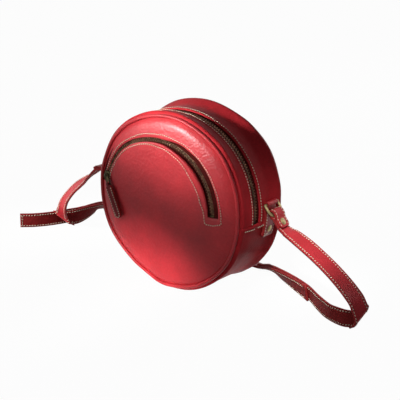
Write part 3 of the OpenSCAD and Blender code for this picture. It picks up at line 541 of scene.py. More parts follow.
def cad_copy(node, body):
    """A copy of a cast CAD node with its hard edges eased, which stands for it."""
    bm = bmesh.new()
    bm.from_mesh(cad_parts[node].data)
    bmesh.ops.remove_doubles(bm, verts=bm.verts, dist=2e-6)
    bmesh.ops.dissolve_limit(bm, angle_limit=math.radians(1.0), verts=bm.verts, edges=bm.edges)
    bmesh.ops.scale(bm, vec=(1000, 1000, 1000), verts=bm.verts)
    rounded(make_piece(bm, node + "_cast", ["slider_brass"], body, (node,)), 0.22)


def dress_node(node, material):
    """Gives a CAD node that keeps its shape a finish."""
    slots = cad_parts[node].data.materials
    slots.clear()
    slots.append(finish(material))


# ---- front panel and its crescent zip

# Depth of the crowned front, by distance from its middle
FRONT_FACE = [(0, -42.7), (30, -42.6), (50, -42.3), (62, -41.9), (70, -41.4), (77, -40.8),
              (82, -40.1), (86, -39.3), (89, -38.3), (91.3, -37.1), (93, -36.0), (94.8, -34.6)]
# Slot edges and stitch rows beside the teeth, by angle round the zip's centre
OUTER_EDGE = [(0, 9.8), (45, 9.2), (60, 7.2), (84, 2.6), (105, 2.0), (170, 2.0)]
INNER_EDGE = [(0, -4.0), (60, -4.0), (90, -2.6), (120, -2.0), (170, -2.0)]
OUTER_ROW = [(0, 14.2), (12, 13.0), (27, 11.8), (42, 11.2), (57, 10.2), (76, 7.6), (98, 5.8),
             (118, 4.1), (147, 3.7), (170, 3.8)]
INNER_ROW = [(0, -8.4), (16, -12.0), (39, -12.6), (63, -9.4), (83, -6.8), (105, -4.4),
             (123, -3.7), (170, -3.9)]
# How far from the bag's middle the crescent's tapes may reach inside the rim
TAPE_REACH = 90.5


def front_y(x, z):
    return eased(FRONT_FACE, math.hypot(x, z - BAG_Z), float)


def on_front(turn, r, lift=0.0):
    a = math.radians(turn)
    x, z = POCKET.x + r * math.cos(a), POCKET.z + r * math.sin(a)
    return Vector((x, front_y(x, z) - lift, z))


def rim_from_pocket(turn, radius):
    """Distance from the zip's centre to a circle round the bag's middle."""
    a = math.radians(turn)
    way = Vector((math.cos(a), 0, math.sin(a)))
    off = POCKET - MIDDLE
    b = off.dot(way)
    return -b + math.sqrt(b * b - off.length_squared + radius * radius)


# Rings of the panel: distance in from the slot's inner edge, and share of the way from its outer
# edge to the rim
IN_FROM_EDGE = [60, 48, 38, 30, 24, 19, 15, 12, 9.5, 7.5, 5.8, 4.3, 3.1, 2.1, 1.3, 0.6, 0.0]
OUT_SHARES = [0, 0.03, 0.07, 0.12, 0.19, 0.28, 0.38, 0.48, 0.57, 0.65, 0.72, 0.78, 0.84, 0.89,
              0.93, 0.965, 0.985, 1.0]


def panel_place(station, turn):
    """Where the station numbered from the centre lies on a ray, and its distance to the slot.
    Past the slot's ends its two edges ease into each other."""
    wrapped = turn % 360
    shut = wrapped > POCKET_TO + 0.1
    at = wrapped if not shut else (POCKET_TO if wrapped < (POCKET_TO + 360) / 2 else 0)
    ease = 0 if not shut else smooth(min(wrapped - POCKET_TO, 360 - wrapped) / 60)
    inner = POCKET_R + eased(INNER_EDGE, at) * (1 - ease) - 4 * ease
    outer = POCKET_R + eased(OUTER_EDGE, at) * (1 - ease) + 4 * ease
    n = len(IN_FROM_EDGE)
    if station == 0:
        return 0.0, None
    if station <= n:
        back = IN_FROM_EDGE[station - 1]
        return inner - back * (inner - 2) / 68, back
    if station == n + 1:
        return (inner + outer) / 2, 0
    share = OUT_SHARES[station - n - 2]
    end = rim_from_pocket(wrapped, PANEL_R)
    return outer + (end - outer) * share, (end - outer) * share


def build_front_panel():
    """A disc of rays and rings round the crescent's centre, cut open along its slot."""
    stations = len(IN_FROM_EDGE) + len(OUT_SHARES) + 2
    bm = bmesh.new()
    line = [bm.verts.new((POCKET.x + k, -42, POCKET.z)) for k in range(stations)]
    edges = [bm.edges.new(pair) for pair in zip(line, line[1:])]
    bmesh.ops.spin(bm, geom=line + edges, cent=POCKET, axis=(0, -1, 0), angle=math.tau,
                   steps=240, use_merge=True)
    bmesh.ops.remove_doubles(bm, verts=bm.verts, dist=1e-3)
    inner_station = len(IN_FROM_EDGE)
    slot_verts = set()
    for v in bm.verts:
        off = v.co - POCKET
        flat = Vector((off.x, 0, off.z))
        station = round(flat.length)
        turn = math.degrees(math.atan2(flat.z, flat.x)) % 360
        if turn > 359.9:
            turn = 0.0
        r, gone = panel_place(station, turn)
        spot = on_front(turn, r)
        opened = turn < POCKET_TO + 0.1
        if opened and gone is not None:
            wide = smooth(turn / 6) * smooth((104 - turn) / 50)
            if gone < 2.0:
                spot.y += (0.25 + 1.1 * wide) * (1 - gone / 2.0) ** 2
            if station <= inner_station:
                width = max(eased(INNER_EDGE, turn) - eased(INNER_ROW, turn), 1.5)
                share = min(1.0, gone / width)
                # no swelling where the pull's tab lies when the pocket is open
                clear = smooth((turn - 16) / 30)
                spot.y -= 1.3 * wide * clear * math.sin(math.pi * share ** 0.62) ** 1.5
            else:
                spot.y -= 0.5 * wide * smooth(1 - gone / 4)
        if station == inner_station + 1 and opened:
            slot_verts.add(v)
        sag = 0.22 * noise.noise(Vector((spot.x * 0.028, 3.1, spot.z * 0.028)))
        spot.y += sag * smooth((88 - math.hypot(spot.x, spot.z - BAG_Z)) / 20)
        v.co = settled(spot)
    doomed = []
    for face in bm.faces:
        if any(v in slot_verts for v in face.verts):
            mid = face.calc_center_median()
            turn = math.degrees(math.atan2(mid.z - POCKET.z, mid.x - POCKET.x)) % 360
            if turn < POCKET_TO:
                doomed.append(face)
    bmesh.ops.delete(bm, geom=doomed, context="FACES")
    bmesh.ops.recalc_face_normals(bm, faces=bm.faces)
    if sum(f.normal.y for f in bm.faces) > 0:
        bmesh.ops.reverse_faces(bm, faces=bm.faces)
    bmesh.ops.solidify(bm, geom=bm.faces, thickness=sizes().leather / MM)
    make_piece(bm, "front_panel_skin", ["bag_hide"], nodes=("front_panel", "pocket_lip"))


def row_on_front(table):
    """A stitch row beside the crescent, just off the leather."""
    turns = [POCKET_TO * k / 160 for k in range(161)]
    return [settled(on_front(turn, POCKET_R + eased(table, turn), SEWN_LIFT)) for turn in turns]


def build_pocket_stitching():
    """Both rows along the slot, and the row that joins them below its right end."""
    bm = bmesh.new()
    outer, inner = row_on_front(OUTER_ROW), row_on_front(INNER_ROW)
    ends = [(54.2, 89.0), (55.0, 87.2), (57.0, 86.4), (65, 86.4), (74.0, 88.6), (76.0, 89.6),
            (76.6, 91.2)]
    low = [settled(Vector((x, front_y(x, z) - SEWN_LIFT, z)))
           for x, z in [(inner[0].x, inner[0].z), *ends, (outer[0].x, outer[0].z)]]
    up = Vector((0.1, -1, 0.1)).normalized()
    for line in (outer, inner, low):
        stitch_row(bm, line, [up] * len(line), pitch=2.9)
    make_piece(bm, "pocket_stitching", ["waxed_thread", "stitch_hole_shade"])


def build_pocket_tapes():
    for name, r_in, r_out in (("outer", 2.2, 11.6), ("inner", -11.6, -2.2)):
        cells = [(POCKET_R + r_in + (r_out - r_in) * k / 8, -38.45) for k in range(9)]
        back = [(r, -38.0) for r, _ in reversed(cells)]
        bm = spun(cells + back, -1.8, POCKET_TO + 3.6, 150, True, POCKET)
        for v in bm.verts:
            off = Vector((v.co.x, 0, v.co.z - BAG_Z))
            if off.length > TAPE_REACH:
                off *= TAPE_REACH / off.length
                v.co.x, v.co.z = off.x, off.z + BAG_Z
        make_piece(bm, f"pocket_tape_{name}_cloth", ["zip_weave"],
                   nodes=(f"pocket_tape_{name}",))


def tooth(place, outwards, across, along, side):
    """A maker of one cast tooth, with a wider head that reaches past the chain's middle."""
    at = Matrix.Translation(place) @ Matrix((across * side, outwards, along)).transposed().to_4x4()
    leg = at @ Matrix.Translation((1.45, 0, 0)) @ Matrix.Diagonal((2.7, 2.0, 0.95, 1))
    head = at @ Matrix.Translation((0.25, 0, 0)) @ Matrix.Diagonal((1.1, 1.5, 1.25, 1))

    def make(part):
        verts = [v for shape in (leg, head)
                 for v in bmesh.ops.create_cube(part, size=1.0, matrix=shape)["verts"]]
        edges = {edge for v in verts for edge in v.link_edges}
        bmesh.ops.bevel(part, geom=list(edges), offset=0.18, offset_type="OFFSET", segments=1,
                        profile=0.5, affect="EDGES", material=-1)
    return make


def build_main_teeth():
    build_teeth("main", ("main_teeth_front", "main_teeth_rear"), MIDDLE, 97.7, ZIP_Y, -5.6, 185.6,
                True)


def build_pocket_teeth():
    build_teeth("pocket", ("pocket_teeth_outer", "pocket_teeth_inner"), POCKET, POCKET_R, -38.2,
                1.6, 165.3, False)


def build_teeth(name, nodes, centre, radius, y, from_deg, to_deg, on_rim):
    """Two rows of interlocking teeth round an arc, each row's own piece."""
    step = math.degrees(sizes().tooth_pitch / MM / radius)
    for side, row in ((1, nodes[0]), (-1, nodes[1])):
        bm, makers = bmesh.new(), []
        turn = from_deg + (0.5 if side > 0 else 1.0) * step
        while turn < to_deg - step * 0.4:
            a = math.radians(turn)
            out = Vector((math.cos(a), 0, math.sin(a)))
            along = Vector((-math.sin(a), 0, math.cos(a)))
            place = centre + out * radius + Vector((0, y, 0))
            if on_rim:
                makers.append(tooth(place, out, Vector((0, -1, 0)), along, side))
            else:
                makers.append(tooth(place, Vector((0, -1, 0)), out, along, side))
            turn += step
        add_all(bm, makers)
        make_piece(bm, f"{name}_{row}_cast", ["tooth_brass"], nodes=(row,))


# ---- sides, back, piping and lining

# The side leathers: node, outer face and inner face as (radius, depth), start, turn and steps
SIDES = [
    ("front_zip_strip",
     [(98.4, -15.9), (99.3, -15.5), (100.2, -16.1), (100.5, -18.0), (100.3, -23.0),
      (100.4, -28.0), (100.7, -30.6), (99.9, -32.4), (98.2, -33.6), (96.6, -33.8)],
     [(95.8, -32.6), (97.6, -30.4), (98.3, -27.0), (98.5, -20.0)], -7, 194, 170),
    ("rear_zip_strip",
     [(98.4, -4.1), (99.3, -4.5), (100.2, -3.9), (100.5, -2.0), (100.2, 4.0), (100.0, 14.0),
      (100.3, 24.0), (100.5, 29.6), (99.8, 32.2), (98.2, 33.6), (96.6, 33.9)],
     [(95.8, 32.6), (97.6, 30.4), (98.3, 27.0), (98.3, 12.0), (98.5, 0.0)], -7, 194, 170),
    ("bottom_gusset",
     [(96.6, -33.8), (98.2, -33.6), (99.9, -32.4), (100.7, -30.4), (100.3, -26.0),
      (100.1, -12.0), (100.1, 12.0), (100.3, 26.0), (100.6, 30.2), (99.8, 32.4), (98.2, 33.6),
      (96.6, 33.9)],
     [(95.8, 32.6), (97.6, 30.4), (98.4, 27.0), (98.4, 9.0), (98.4, -9.0), (98.4, -27.0),
      (97.6, -30.4), (95.8, -32.6)], SEAM_FROM, 166.8, 150)]


def build_sides():
    for node, outer, inner, start, turned, steps in SIDES:
        bm = spun(smooth_line(outer, 3) + inner, start, turned, steps)
        if node == "bottom_gusset":
            raise_ends(bm)
        settle(bm)
        make_piece(bm, node + "_skin", ["side_hide"], nodes=(node,))


def raise_ends(bm):
    """Lifts the gusset's ends a little, where they lap over the zip's strips."""
    for v in bm.verts:
        off = v.co - MIDDLE
        turn = math.degrees(math.atan2(off.z, off.x)) % 360
        near = min(abs(turn - SEAM_FROM), abs(turn - SEAM_TO))
        r = math.hypot(off.x, off.z)
        if near < 4 and r > 99:
            lift = 1 + 0.9 * smooth(1 - near / 4) / r
            v.co = Vector((off.x * lift, v.co.y, BAG_Z + off.z * lift))


def build_side_stitching():
    """A row on each side of the main zip, and one across the gusset's ends."""
    bm = bmesh.new()
    for y in (-18.5, -1.6):
        turns = [math.radians(-6 + 192 * k / 120) for k in range(121)]
        line = [settled(MIDDLE + Vector((100.55 * math.cos(a), y, 100.55 * math.sin(a))))
                for a in turns]
        stitch_row(bm, line, [(p - MIDDLE).normalized() for p in line], pitch=3.1)
    for turn in (-9.0, 189.0):
        a = math.radians(turn)
        out = Vector((math.cos(a), 0, math.sin(a)))
        for y_from, y_to in ((-29.5, -12.5), (-8.0, 29.5)):
            depths = [y_from + (y_to - y_from) * k / 12 for k in range(13)]
            line = [settled(MIDDLE + out * 100.9 + Vector((0, y, 0))) for y in depths]
            stitch_row(bm, line, [out] * 13, pitch=3.1)
    make_piece(bm, "side_stitching", ["waxed_thread", "stitch_hole_shade"])


def build_pipings():
    for name, y in (("front", -35.5), ("rear", 35.5)):
        angles = [math.tau * k / 14 for k in range(14)]
        profile = [(95.6 + 2.0 * math.cos(a), y + 2.0 * math.sin(a)) for a in angles]
        bm = spun(profile, 0, 360, 240)
        for v in bm.verts:
            v.co = settled(v.co)
            v.co.y += 0.18 * noise.noise(v.co * 0.09)
        make_piece(bm, f"{name}_piping_cord", ["piping_hide"], nodes=(f"{name}_piping",))


def build_back_panel():
    outer = smooth_line([(0.0, 42.4), (30, 42.3), (55, 41.8), (72, 41.1), (80, 40.6), (85, 39.9),
                         (88.5, 38.9), (91, 37.4), (92.9, 35.8), (PANEL_R, 34.3)], 4)
    inner = [(94.2, 33.2), (91.6, 34.7), (88.6, 37.2), (84.6, 38.3), (79, 38.9), (40, 39.6),
             (0.0, 39.8)]
    bm = spun(outer + inner, 0, 360, 180, False)
    for v in bm.verts:
        r = math.hypot(v.co.x, v.co.z - BAG_Z)
        v.co.y += 0.5 * noise.noise(v.co * 0.024) * smooth((88 - r) / 20)
        v.co = settled(v.co)
    bmesh.ops.remove_doubles(bm, verts=bm.verts, dist=1e-3)
    make_piece(bm, "back_panel_skin", ["side_hide"], nodes=("back_panel",))


def build_linings():
    def cloth(node, profile, start=0, sweep_deg=360):
        bm = spun(profile, start, sweep_deg, 120, sweep_deg < 360)
        for v in bm.verts:
            off = v.co - MIDDLE
            r = math.hypot(off.x, off.z)
            fold = 0.35 * noise.noise(v.co * 0.05)
            if r > 60:
                v.co += Vector((off.x, 0, off.z)).normalized() * (fold - 0.35)
            v.co.y += fold * (0.5 if r < 60 else 0.2)
            v.co = settled(v.co)
            v.co.z = max(v.co.z, 2.6)
        bmesh.ops.remove_doubles(bm, verts=bm.verts, dist=1e-3)
        make_piece(bm, node + "_cloth", ["lining_cloth"], nodes=(node,))

    cloth("front_lining", [(0.0, -31.2), (60, -31.2), (90.0, -31.2), (92.4, -30.6),
                           (92.4, -30.0), (90, -30.6), (60, -30.6), (0.0, -30.6)])
    cloth("back_lining", [(0.0, 37.4), (60, 37.4), (90.0, 37.2), (90.0, 36.8), (60, 36.9),
                          (0.0, 36.9)])
    cloth("side_lining", [(93.6, -30.2), (94.6, -28.0), (94.6, 28.0), (92.4, 31.0), (91.9, 30.6),
                          (94.1, 28.0), (94.1, -28.0), (93.2, -30.0)], 189, 162)
    cloth("pocket_bag", [(0.0, -33.6), (60, -33.6), (84, -33.8), (87.6, -35.0), (88.4, -37.6),
                         (87.9, -37.6), (87.1, -35.3), (83.8, -34.3), (60, -34.1), (0.0, -34.1)])


def build_main_tapes():
    for name, y_from, y_to in (("front", -21.6, -12.2), ("rear", -7.8, 1.6)):
        bm = spun([(97.5, y_from), (97.5, y_to), (97.95, y_to), (97.95, y_from)], -6.9, 193.8, 160)
        make_piece(bm, f"main_tape_{name}_cloth", ["zip_weave"], nodes=(f"main_tape_{name}",))


# ---- straps: the same routes as in the part's source

# Rows of place, as shares of the bag's radius, the strap's width direction, and how far its edge
# slants along the route
RIGHT_ROUTE = [
    [1.27, 0.118, 0.775, 0, 1, 0.12, 0], [1.362, 0.091, 0.755, 0.05, 0.95, 0.3, 0],
    [1.555, 0.044, 0.69, 0.1, 0.88, 0.45, 0], [1.74, 0, 0.613, 0.1, 0.88, 0.46, 0],
    [1.916, -0.045, 0.531, 0.13, 0.85, 0.5, 0], [2.071, -0.083, 0.443, 0.18, 0.8, 0.57, 0.2],
    [2.187, -0.111, 0.364, 0.24, 0.7, 0.66, 0.5], [2.266, -0.13, 0.295, 0.3, 0.62, 0.72, 0.8],
    [2.327, -0.144, 0.195, 0.356, 0.55, 0.755, 1], [2.332, -0.14, 0.152, 0.356, 0.55, 0.755, 1],
    [2.315, -0.128, 0.12, 0.356, 0.55, 0.755, 1], [2.282, -0.124, 0.1, 0.356, 0.55, 0.755, 1],
    [2.245, -0.139, 0.096, 0.34, 0.53, 0.78, 1], [2.13, -0.16, 0, 0.15, 0.25, 0.96, 0.8],
    [1.97, -0.122, 0, 0, 0, 1, 0], [1.84, -0.05, 0, 0, 0, 1, 0], [1.67, 0.075, 0, 0, -0.08, 1, 0]]
LAP_ROUTE = [
    [1.49, 0.215, 0, -0.05, -0.15, 1], [1.235, 0.37, 0, -0.05, -0.32, 0.94],
    [0.93, 0.545, 0, 0.15, -0.68, 0.7], [0.7, 0.68, 0, 0.3, -0.85, 0.4],
    [0.54, 0.75, 0, 0.2, -0.95, 0.2]]
LEFT_ROUTE = [
    [-1.555, 0.175, 0.905, -0.05, 0.98, 0.2, 0], [-1.665, 0.22, 0.828, -0.18, 0.9, 0.37, 0],
    [-1.766, 0.255, 0.767, -0.3, 0.83, 0.45, 0], [-1.936, 0.3, 0.649, -0.39, 0.73, 0.55, 0],
    [-2.107, 0.352, 0.495, -0.56, 0.6, 0.52, 0], [-2.217, 0.391, 0.356, -0.72, 0.35, 0.5, 0.3],
    [-2.285, 0.445, 0.245, -0.78, 0.05, 0.56, 0.7],
    [-2.379, 0.542, 0.154, -0.746, -0.337, 0.574, 1],
    [-2.378, 0.543, 0.125, -0.746, -0.337, 0.574, 1],
    [-2.38, 0.561, 0.105, -0.746, -0.337, 0.574, 1],
    [-2.376, 0.588, 0.096, -0.746, -0.337, 0.574, 1],
    [-2.36, 0.612, 0.096, -0.72, -0.32, 0.6, 1], [-2.312, 0.73, 0.096, -0.3, -0.05, 0.95, 0.5],
    [-2.31, 0.94, 0.097, 0.2, 0, 0.98, 0], [-2.318, 1.13, 0.1, 0.6, -0.05, 0.79, 0],
    [-2.346, 1.272, 0.09, 0.85, 0.05, 0.45, 0], [-2.28, 1.38, 0.07, 0.75, -0.5, 0.35, 0],
    [-2.1, 1.44, 0.05, 0.4, -0.85, 0.25, 0], [-1.8, 1.36, 0.045, 0.1, -1, 0.1, 0],
    [-1.45, 1.15, 0.04, 0, -1, 0.05, 0]]
TAIL_ROUTE = [
    [-2.385, 0.83, 0, 0, 0, 1, 0], [-2.435, 0.72, 0, 0, 0, 1, 0], [-2.485, 0.59, 0, 0, 0, 1, 0],
    [-2.56, 0.45, 0, 0, 0, 1, 0], [-2.66, 0.32, 0, 0, 0, 1, 0], [-2.79, 0.21, 0, 0, 0, 1, 0]]
# Row of the left route where the punched strap leaves it, and steps between rows
PART_ROW = 13
STEPS = 3
FOLD_STEPS = 6
BAG_R = 100.0
STRAP_W = 18.0
STRAP_T = 2.6
GAP = 0.2
PITCH = STRAP_T + GAP
# A ring's bar, and the strap's fold round the far wire, its flaps, rivets and angles
BAR = Vector((103.13, 13.0, 105.21))
RING_BIGHT = 11.15
PLY_OUT = 3.15
PLY_CLOSE = (STRAP_T + GAP) / 2
BIGHT_TIP = RING_BIGHT - PLY_OUT - STRAP_T / 2
FOLD_STRETCH = 8.0
RIGHT_FLAP, LEFT_FLAP = 23, 33
RIGHT_RIVET = BIGHT_TIP + 0.72 * RIGHT_FLAP
LEFT_RIVET = BIGHT_TIP + 0.56 * LEFT_FLAP
RIVET_R = 4.1
RIGHT_DROP, LEFT_RISE = 54, 2
# The buckle behind the bag: its heel bar, the fold round it and the keeper
HEEL = Vector((-60.0, 92.5, 4.45))
HEEL_PLY = 3.15
REAR_SLOPE = math.radians(-6)
BUCKLE_LEN = 20.0
BUCKLE_FOLD = 30.0
BUCKLE_STRETCH = 12
KEEPER_W = 9.0
KEEPER_T = 1.4
KEEPER_U = -BUCKLE_FOLD - 1.2 * KEEPER_W
LOW_Z = STRAP_T / 2
MAIN_Z = LOW_Z + PITCH
KEEPER_Z = KEEPER_T + 2 * GAP + STRAP_T / 2


def place_of(row):
    return Vector(row[:3])


def width_of(row):
    return Vector(row[3:6])


def rest_height(w):
    """Height of a strap's middle where its width runs along w and it lies on the surface."""
    up = abs(w.normalized().z)
    return (STRAP_W * up + STRAP_T * math.sqrt(1 - up * up)) / 2


def placed(row):
    w = width_of(row).normalized()
    return [row[0] * BAG_R, row[1] * BAG_R, max(row[2] * BAG_R, rest_height(w)), *w,
            row[6] if len(row) > 6 else 0]


def lapped(row):
    """The same for a row of the layer that lies on another."""
    w = width_of(row).normalized()
    return [row[0] * BAG_R, row[1] * BAG_R,
            rest_height(w) + PITCH * math.sqrt(1 - w.z * w.z) + GAP, *w, 0]


def along(path, i):
    return (place_of(path[min(len(path) - 1, i + 1)]) - place_of(path[max(0, i - 1)])).normalized()


def across(path, i):
    t, w = along(path, i), width_of(path[i])
    return (w - t * w.dot(t)).normalized()


def face_of(path, i):
    return along(path, i).cross(across(path, i))


def slanted(path, i):
    """The width direction at a row, turned along the route by its slant."""
    t, u = along(path, i), width_of(path[i]).normalized()
    w = (u - t * ((1 - path[i][6]) * u.dot(t))).normalized()
    return w / max(t.cross(w).length, 0.2)


def shifted(path, i, d):
    return [*(place_of(path[i]) + face_of(path, i) * d), *across(path, i), 0]


def grounded(path, lap_from=math.inf):
    """Keeps a route above the surface, and above the layer under it from a row on."""
    out = []
    for i, row in enumerate(path):
        up = abs(face_of(path, i).z)
        under = 0 if i < lap_from else PITCH + GAP
        low = abs(slanted(path, i).z) * STRAP_W / 2 + up * (STRAP_T / 2 + under)
        out.append([row[0], row[1], max(row[2], low), *row[3:]])
    return out


def fold(end):
    """The fold round a ring: places along and out from its bar, from one end to the other."""
    far = [(end + (RING_BIGHT + FOLD_STRETCH - end) * k / 4, PLY_CLOSE) for k in range(4)]
    near = [(a, -b) for a, b in reversed(far)]
    neck = [(RING_BIGHT + FOLD_STRETCH * at, PLY_OUT * out + PLY_CLOSE * (1 - out))
            for at, out in ((1, 0), (0.75, 0.3), (0.45, 0.93))]
    turn = [(RING_BIGHT - PLY_OUT * math.sin(math.pi * k / FOLD_STEPS),
             PLY_OUT * math.cos(math.pi * k / FOLD_STEPS)) for k in range(FOLD_STEPS + 1)]
    return far + neck + turn + [(a, -b) for a, b in reversed(neck)] + near


def arched(p, start, r, turn):
    """Bends a place in a fold round an arc that begins at start."""
    past = max(p[0] - start, 0)
    s = min(past, abs(r) * math.radians(turn))
    phi = s / r
    return (min(p[0], start) + (r + p[1]) * math.sin(phi) + (past - s) * math.cos(phi),
            (r + p[1]) * math.cos(phi) - r - (past - s) * math.sin(phi))


def ring_fold(side, drop, flap, bend_from, bend_r, bend_turn):
    c, s = math.cos(math.radians(drop)), math.sin(math.radians(drop))
    rows = []
    for p in fold(BIGHT_TIP + flap):
        a, b = arched(p, bend_from, bend_r, bend_turn)
        rows.append([side * (BAR.x + a * c + b * s), BAR.y, BAR.z - a * s + b * c, 0, 1, 0, 0])
    return rows


def rear_place(u, z):
    """A row on the buckle's line behind the bag, u along from the heel bar and z up."""
    return [HEEL.x + u * math.cos(REAR_SLOPE), HEEL.y + u * math.sin(REAR_SLOPE), z,
            math.sin(REAR_SLOPE), -math.cos(REAR_SLOPE), 0, 0]


def strap_paths():
    """The three straps' rows of place, width direction and slant."""
    head = ring_fold(1, RIGHT_DROP, RIGHT_FLAP, RIGHT_RIVET + RIVET_R, -40, 12)
    lap_from = len(head) + len(RIGHT_ROUTE) * STEPS
    right = grounded(head + smooth_line([placed(r) for r in RIGHT_ROUTE]
                                        + [lapped(r) for r in LAP_ROUTE], STEPS), lap_from)

    heel_in = (-BUCKLE_STRETCH * 0.35, HEEL.z + HEEL_PLY * 0.8)
    buckled = [(KEEPER_U - 2 * KEEPER_W, KEEPER_Z), (KEEPER_U - KEEPER_W, KEEPER_Z),
               (KEEPER_U, KEEPER_Z), (KEEPER_U + 0.65 * KEEPER_W, KEEPER_Z),
               (-BUCKLE_FOLD + 4 * GAP, MAIN_Z), (-BUCKLE_STRETCH, MAIN_Z), heel_in]
    buckled += [(HEEL_PLY * math.sin(math.pi * k / FOLD_STEPS),
                 HEEL.z + HEEL_PLY * math.cos(math.pi * k / FOLD_STEPS))
                for k in range(FOLD_STEPS + 1)]
    buckled += [(-BUCKLE_STRETCH * 0.6, LOW_Z), (-BUCKLE_FOLD, LOW_Z)]
    left_end = [rear_place(u, z) for u, z in buckled]
    loop = smooth_line([placed(r) for r in LEFT_ROUTE] + [left_end[0]], STEPS)
    head = ring_fold(-1, -LEFT_RISE, LEFT_FLAP, LEFT_RIVET + RIVET_R, 12, 37)
    left = grounded(head + loop[:-1] + left_end)

    lap = [shifted(right, i, -PITCH) for i in range(lap_from, len(right))]
    over = HEEL_PLY + PITCH + GAP
    upper = PITCH + GAP
    through = [(BUCKLE_LEN + 2 * STRAP_W, LOW_Z), (BUCKLE_LEN + STRAP_W / 2, LOW_Z),
               (BUCKLE_LEN, LOW_Z), (BUCKLE_LEN * 0.82, LOW_Z), (BUCKLE_LEN * 0.62, LOW_Z * 1.7),
               (BUCKLE_LEN * 0.42, HEEL.z)]
    through += [(over * math.sin(a), HEEL.z + over * math.cos(a))
                for a in (math.radians(50), math.radians(25), 0)]
    through += [(heel_in[0], heel_in[1] + PITCH * 1.15),
                (-BUCKLE_STRETCH * 0.7, (HEEL.z + HEEL_PLY + MAIN_Z) / 2 + PITCH * 1.1),
                (-BUCKLE_STRETCH, MAIN_Z + PITCH * 1.1), (-BUCKLE_STRETCH * 1.4, MAIN_Z + upper),
                (-BUCKLE_FOLD + 4 * GAP, MAIN_Z + upper),
                (KEEPER_U + 0.65 * KEEPER_W, KEEPER_Z + upper), (KEEPER_U, KEEPER_Z + upper),
                (KEEPER_U - KEEPER_W, KEEPER_Z + upper)]
    beside = [shifted(loop, i, -PITCH - GAP)
              for i in range(len(loop) - 1, PART_ROW * STEPS - 1, -1)]
    middle = smooth_line([lap[-1]] + [rear_place(u, z) for u, z in through] + [beside[0]], STEPS)
    tail = smooth_line([beside[-1]] + [placed(r) for r in TAIL_ROUTE], STEPS)
    punched = grounded(lap + middle[1:-1] + beside + tail[1:])
    return right, left, punched


# A strap's section in half widths and half thicknesses, and its edges by number
STRAP_OUTLINE = [(-0.93, -1), (-0.75, -0.94), (-0.4, -1), (0, -1), (0.4, -1), (0.75, -0.94),
                 (0.93, -1), (0.985, -0.8), (1, -0.4), (1, 0.4), (0.985, 0.8),
                 (0.93, 1), (0.75, 0.94), (0.4, 1), (0, 1), (-0.4, 1), (-0.75, 0.94), (-0.93, 1),
                 (-0.985, 0.8), (-1, 0.4), (-1, -0.4), (-0.985, -0.8)]
STRAP_PAINTED = {6, 7, 8, 9, 10, 17, 18, 19, 20, 21}
LOW_FACE = {0, 1, 2, 3, 4, 5}
HIGH_FACE = {11, 12, 13, 14, 15, 16}


# Finishes that every sewn leather has after its own; the last is the stitch holes' painted shade
SEWN_LEATHER = ["painted_edge", "waxed_thread", "stitch_hole_shade"]
# Where the stitch rows run in the section, and the straps' coarser stitches
SEWN_AT, SEWN_UP, STRAP_PITCH = 0.75, 0.96, 3.4
# Frame where a ringed strap's flap has ended and its inner face's partly painted shade begins
FLAP_FRAMES = 60


def strap_frames(path):
    rows = smooth_line(path, 3)
    half_w, half_t = sizes().strap_width / MM / 2, sizes().strap_thickness / MM / 2
    return [(place_of(row), slanted(rows, i) * half_w, face_of(rows, i) * half_t)
            for i, row in enumerate(rows)]


def rounded_end(frames, radius):
    """Narrows the first frames of a strap so that its end has round corners."""
    out, gone = [], 0.0
    for i, (place, half, face) in enumerate(frames):
        gone += (place - frames[i - 1][0]).length if i else 0.0
        share = min(1.0, (gone + 0.4) / radius)
        width = STRAP_W / 2 - radius * (1 - math.sqrt(1 - (1 - share) ** 2))
        out.append((place, half * (2 * width / STRAP_W), face))
    return out


def strap_stitches(bm, frames):
    """A row along each edge of both faces."""
    for side in (-1, 1):
        for face in (1, -1):
            points = [p + a * SEWN_AT * side + f * SEWN_UP * face for p, a, f in frames]
            stitch_row(bm, points, [f.normalized() * face for _, _, f in frames], SEWN,
                       STRAP_PITCH)


def end_stitches(bm, frame_row):
    """A row across a strap's end, on both faces."""
    place, half, face = frame_row
    for side in (1, -1):
        points = [place + half * (2 * SEWN_AT * k / 8 - SEWN_AT) + face * SEWN_UP * side
                  for k in range(9)]
        stitch_row(bm, points, [face.normalized() * side] * 9, SEWN, STRAP_PITCH)


def build_straps():
    """The three leathers. A ringed one rides on no body; the punched one rides on the bag."""
    right, left, punched = strap_paths()
    for name, path, inner, ring, foot, top in (
            ("right_strap", right, LOW_FACE, "right_ring", (0.13, 0.01, 0.055),
             (0.13, 0.01, 0.088)),
            ("left_strap", left, HIGH_FACE, "left_ring", (-0.13, 0.01, 0.05),
             (-0.13, 0.01, 0.086)),
            ("punched_strap", punched, LOW_FACE, None, None, None)):
        frames = strap_frames(path)
        if ring:
            frames = rounded_end(frames, 5.0)
        bm = bmesh.new()
        sweep(bm, STRAP_OUTLINE, frames, STRAP_PAINTED, inner, FLAP_FRAMES if ring else 0)
        bmesh.ops.recalc_face_normals(bm, faces=bm.faces)
        strap_stitches(bm, frames[2:])
        end_stitches(bm, frames[-3])
        piece = make_piece(bm, name + "_leather", ["strap_hide", *SEWN_LEATHER, "strap_back_and_shade"],
                           None if ring else "bag", fix=False)
        if ring:
            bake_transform(piece)
        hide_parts(name)


def ease_rims(bm, width):
    rims = [e for e in bm.edges if e.calc_face_angle(0) > 1.0]
    bmesh.ops.bevel(bm, geom=rims, offset=width, offset_type="OFFSET", segments=2, profile=0.5,
                    affect="EDGES", material=-1)


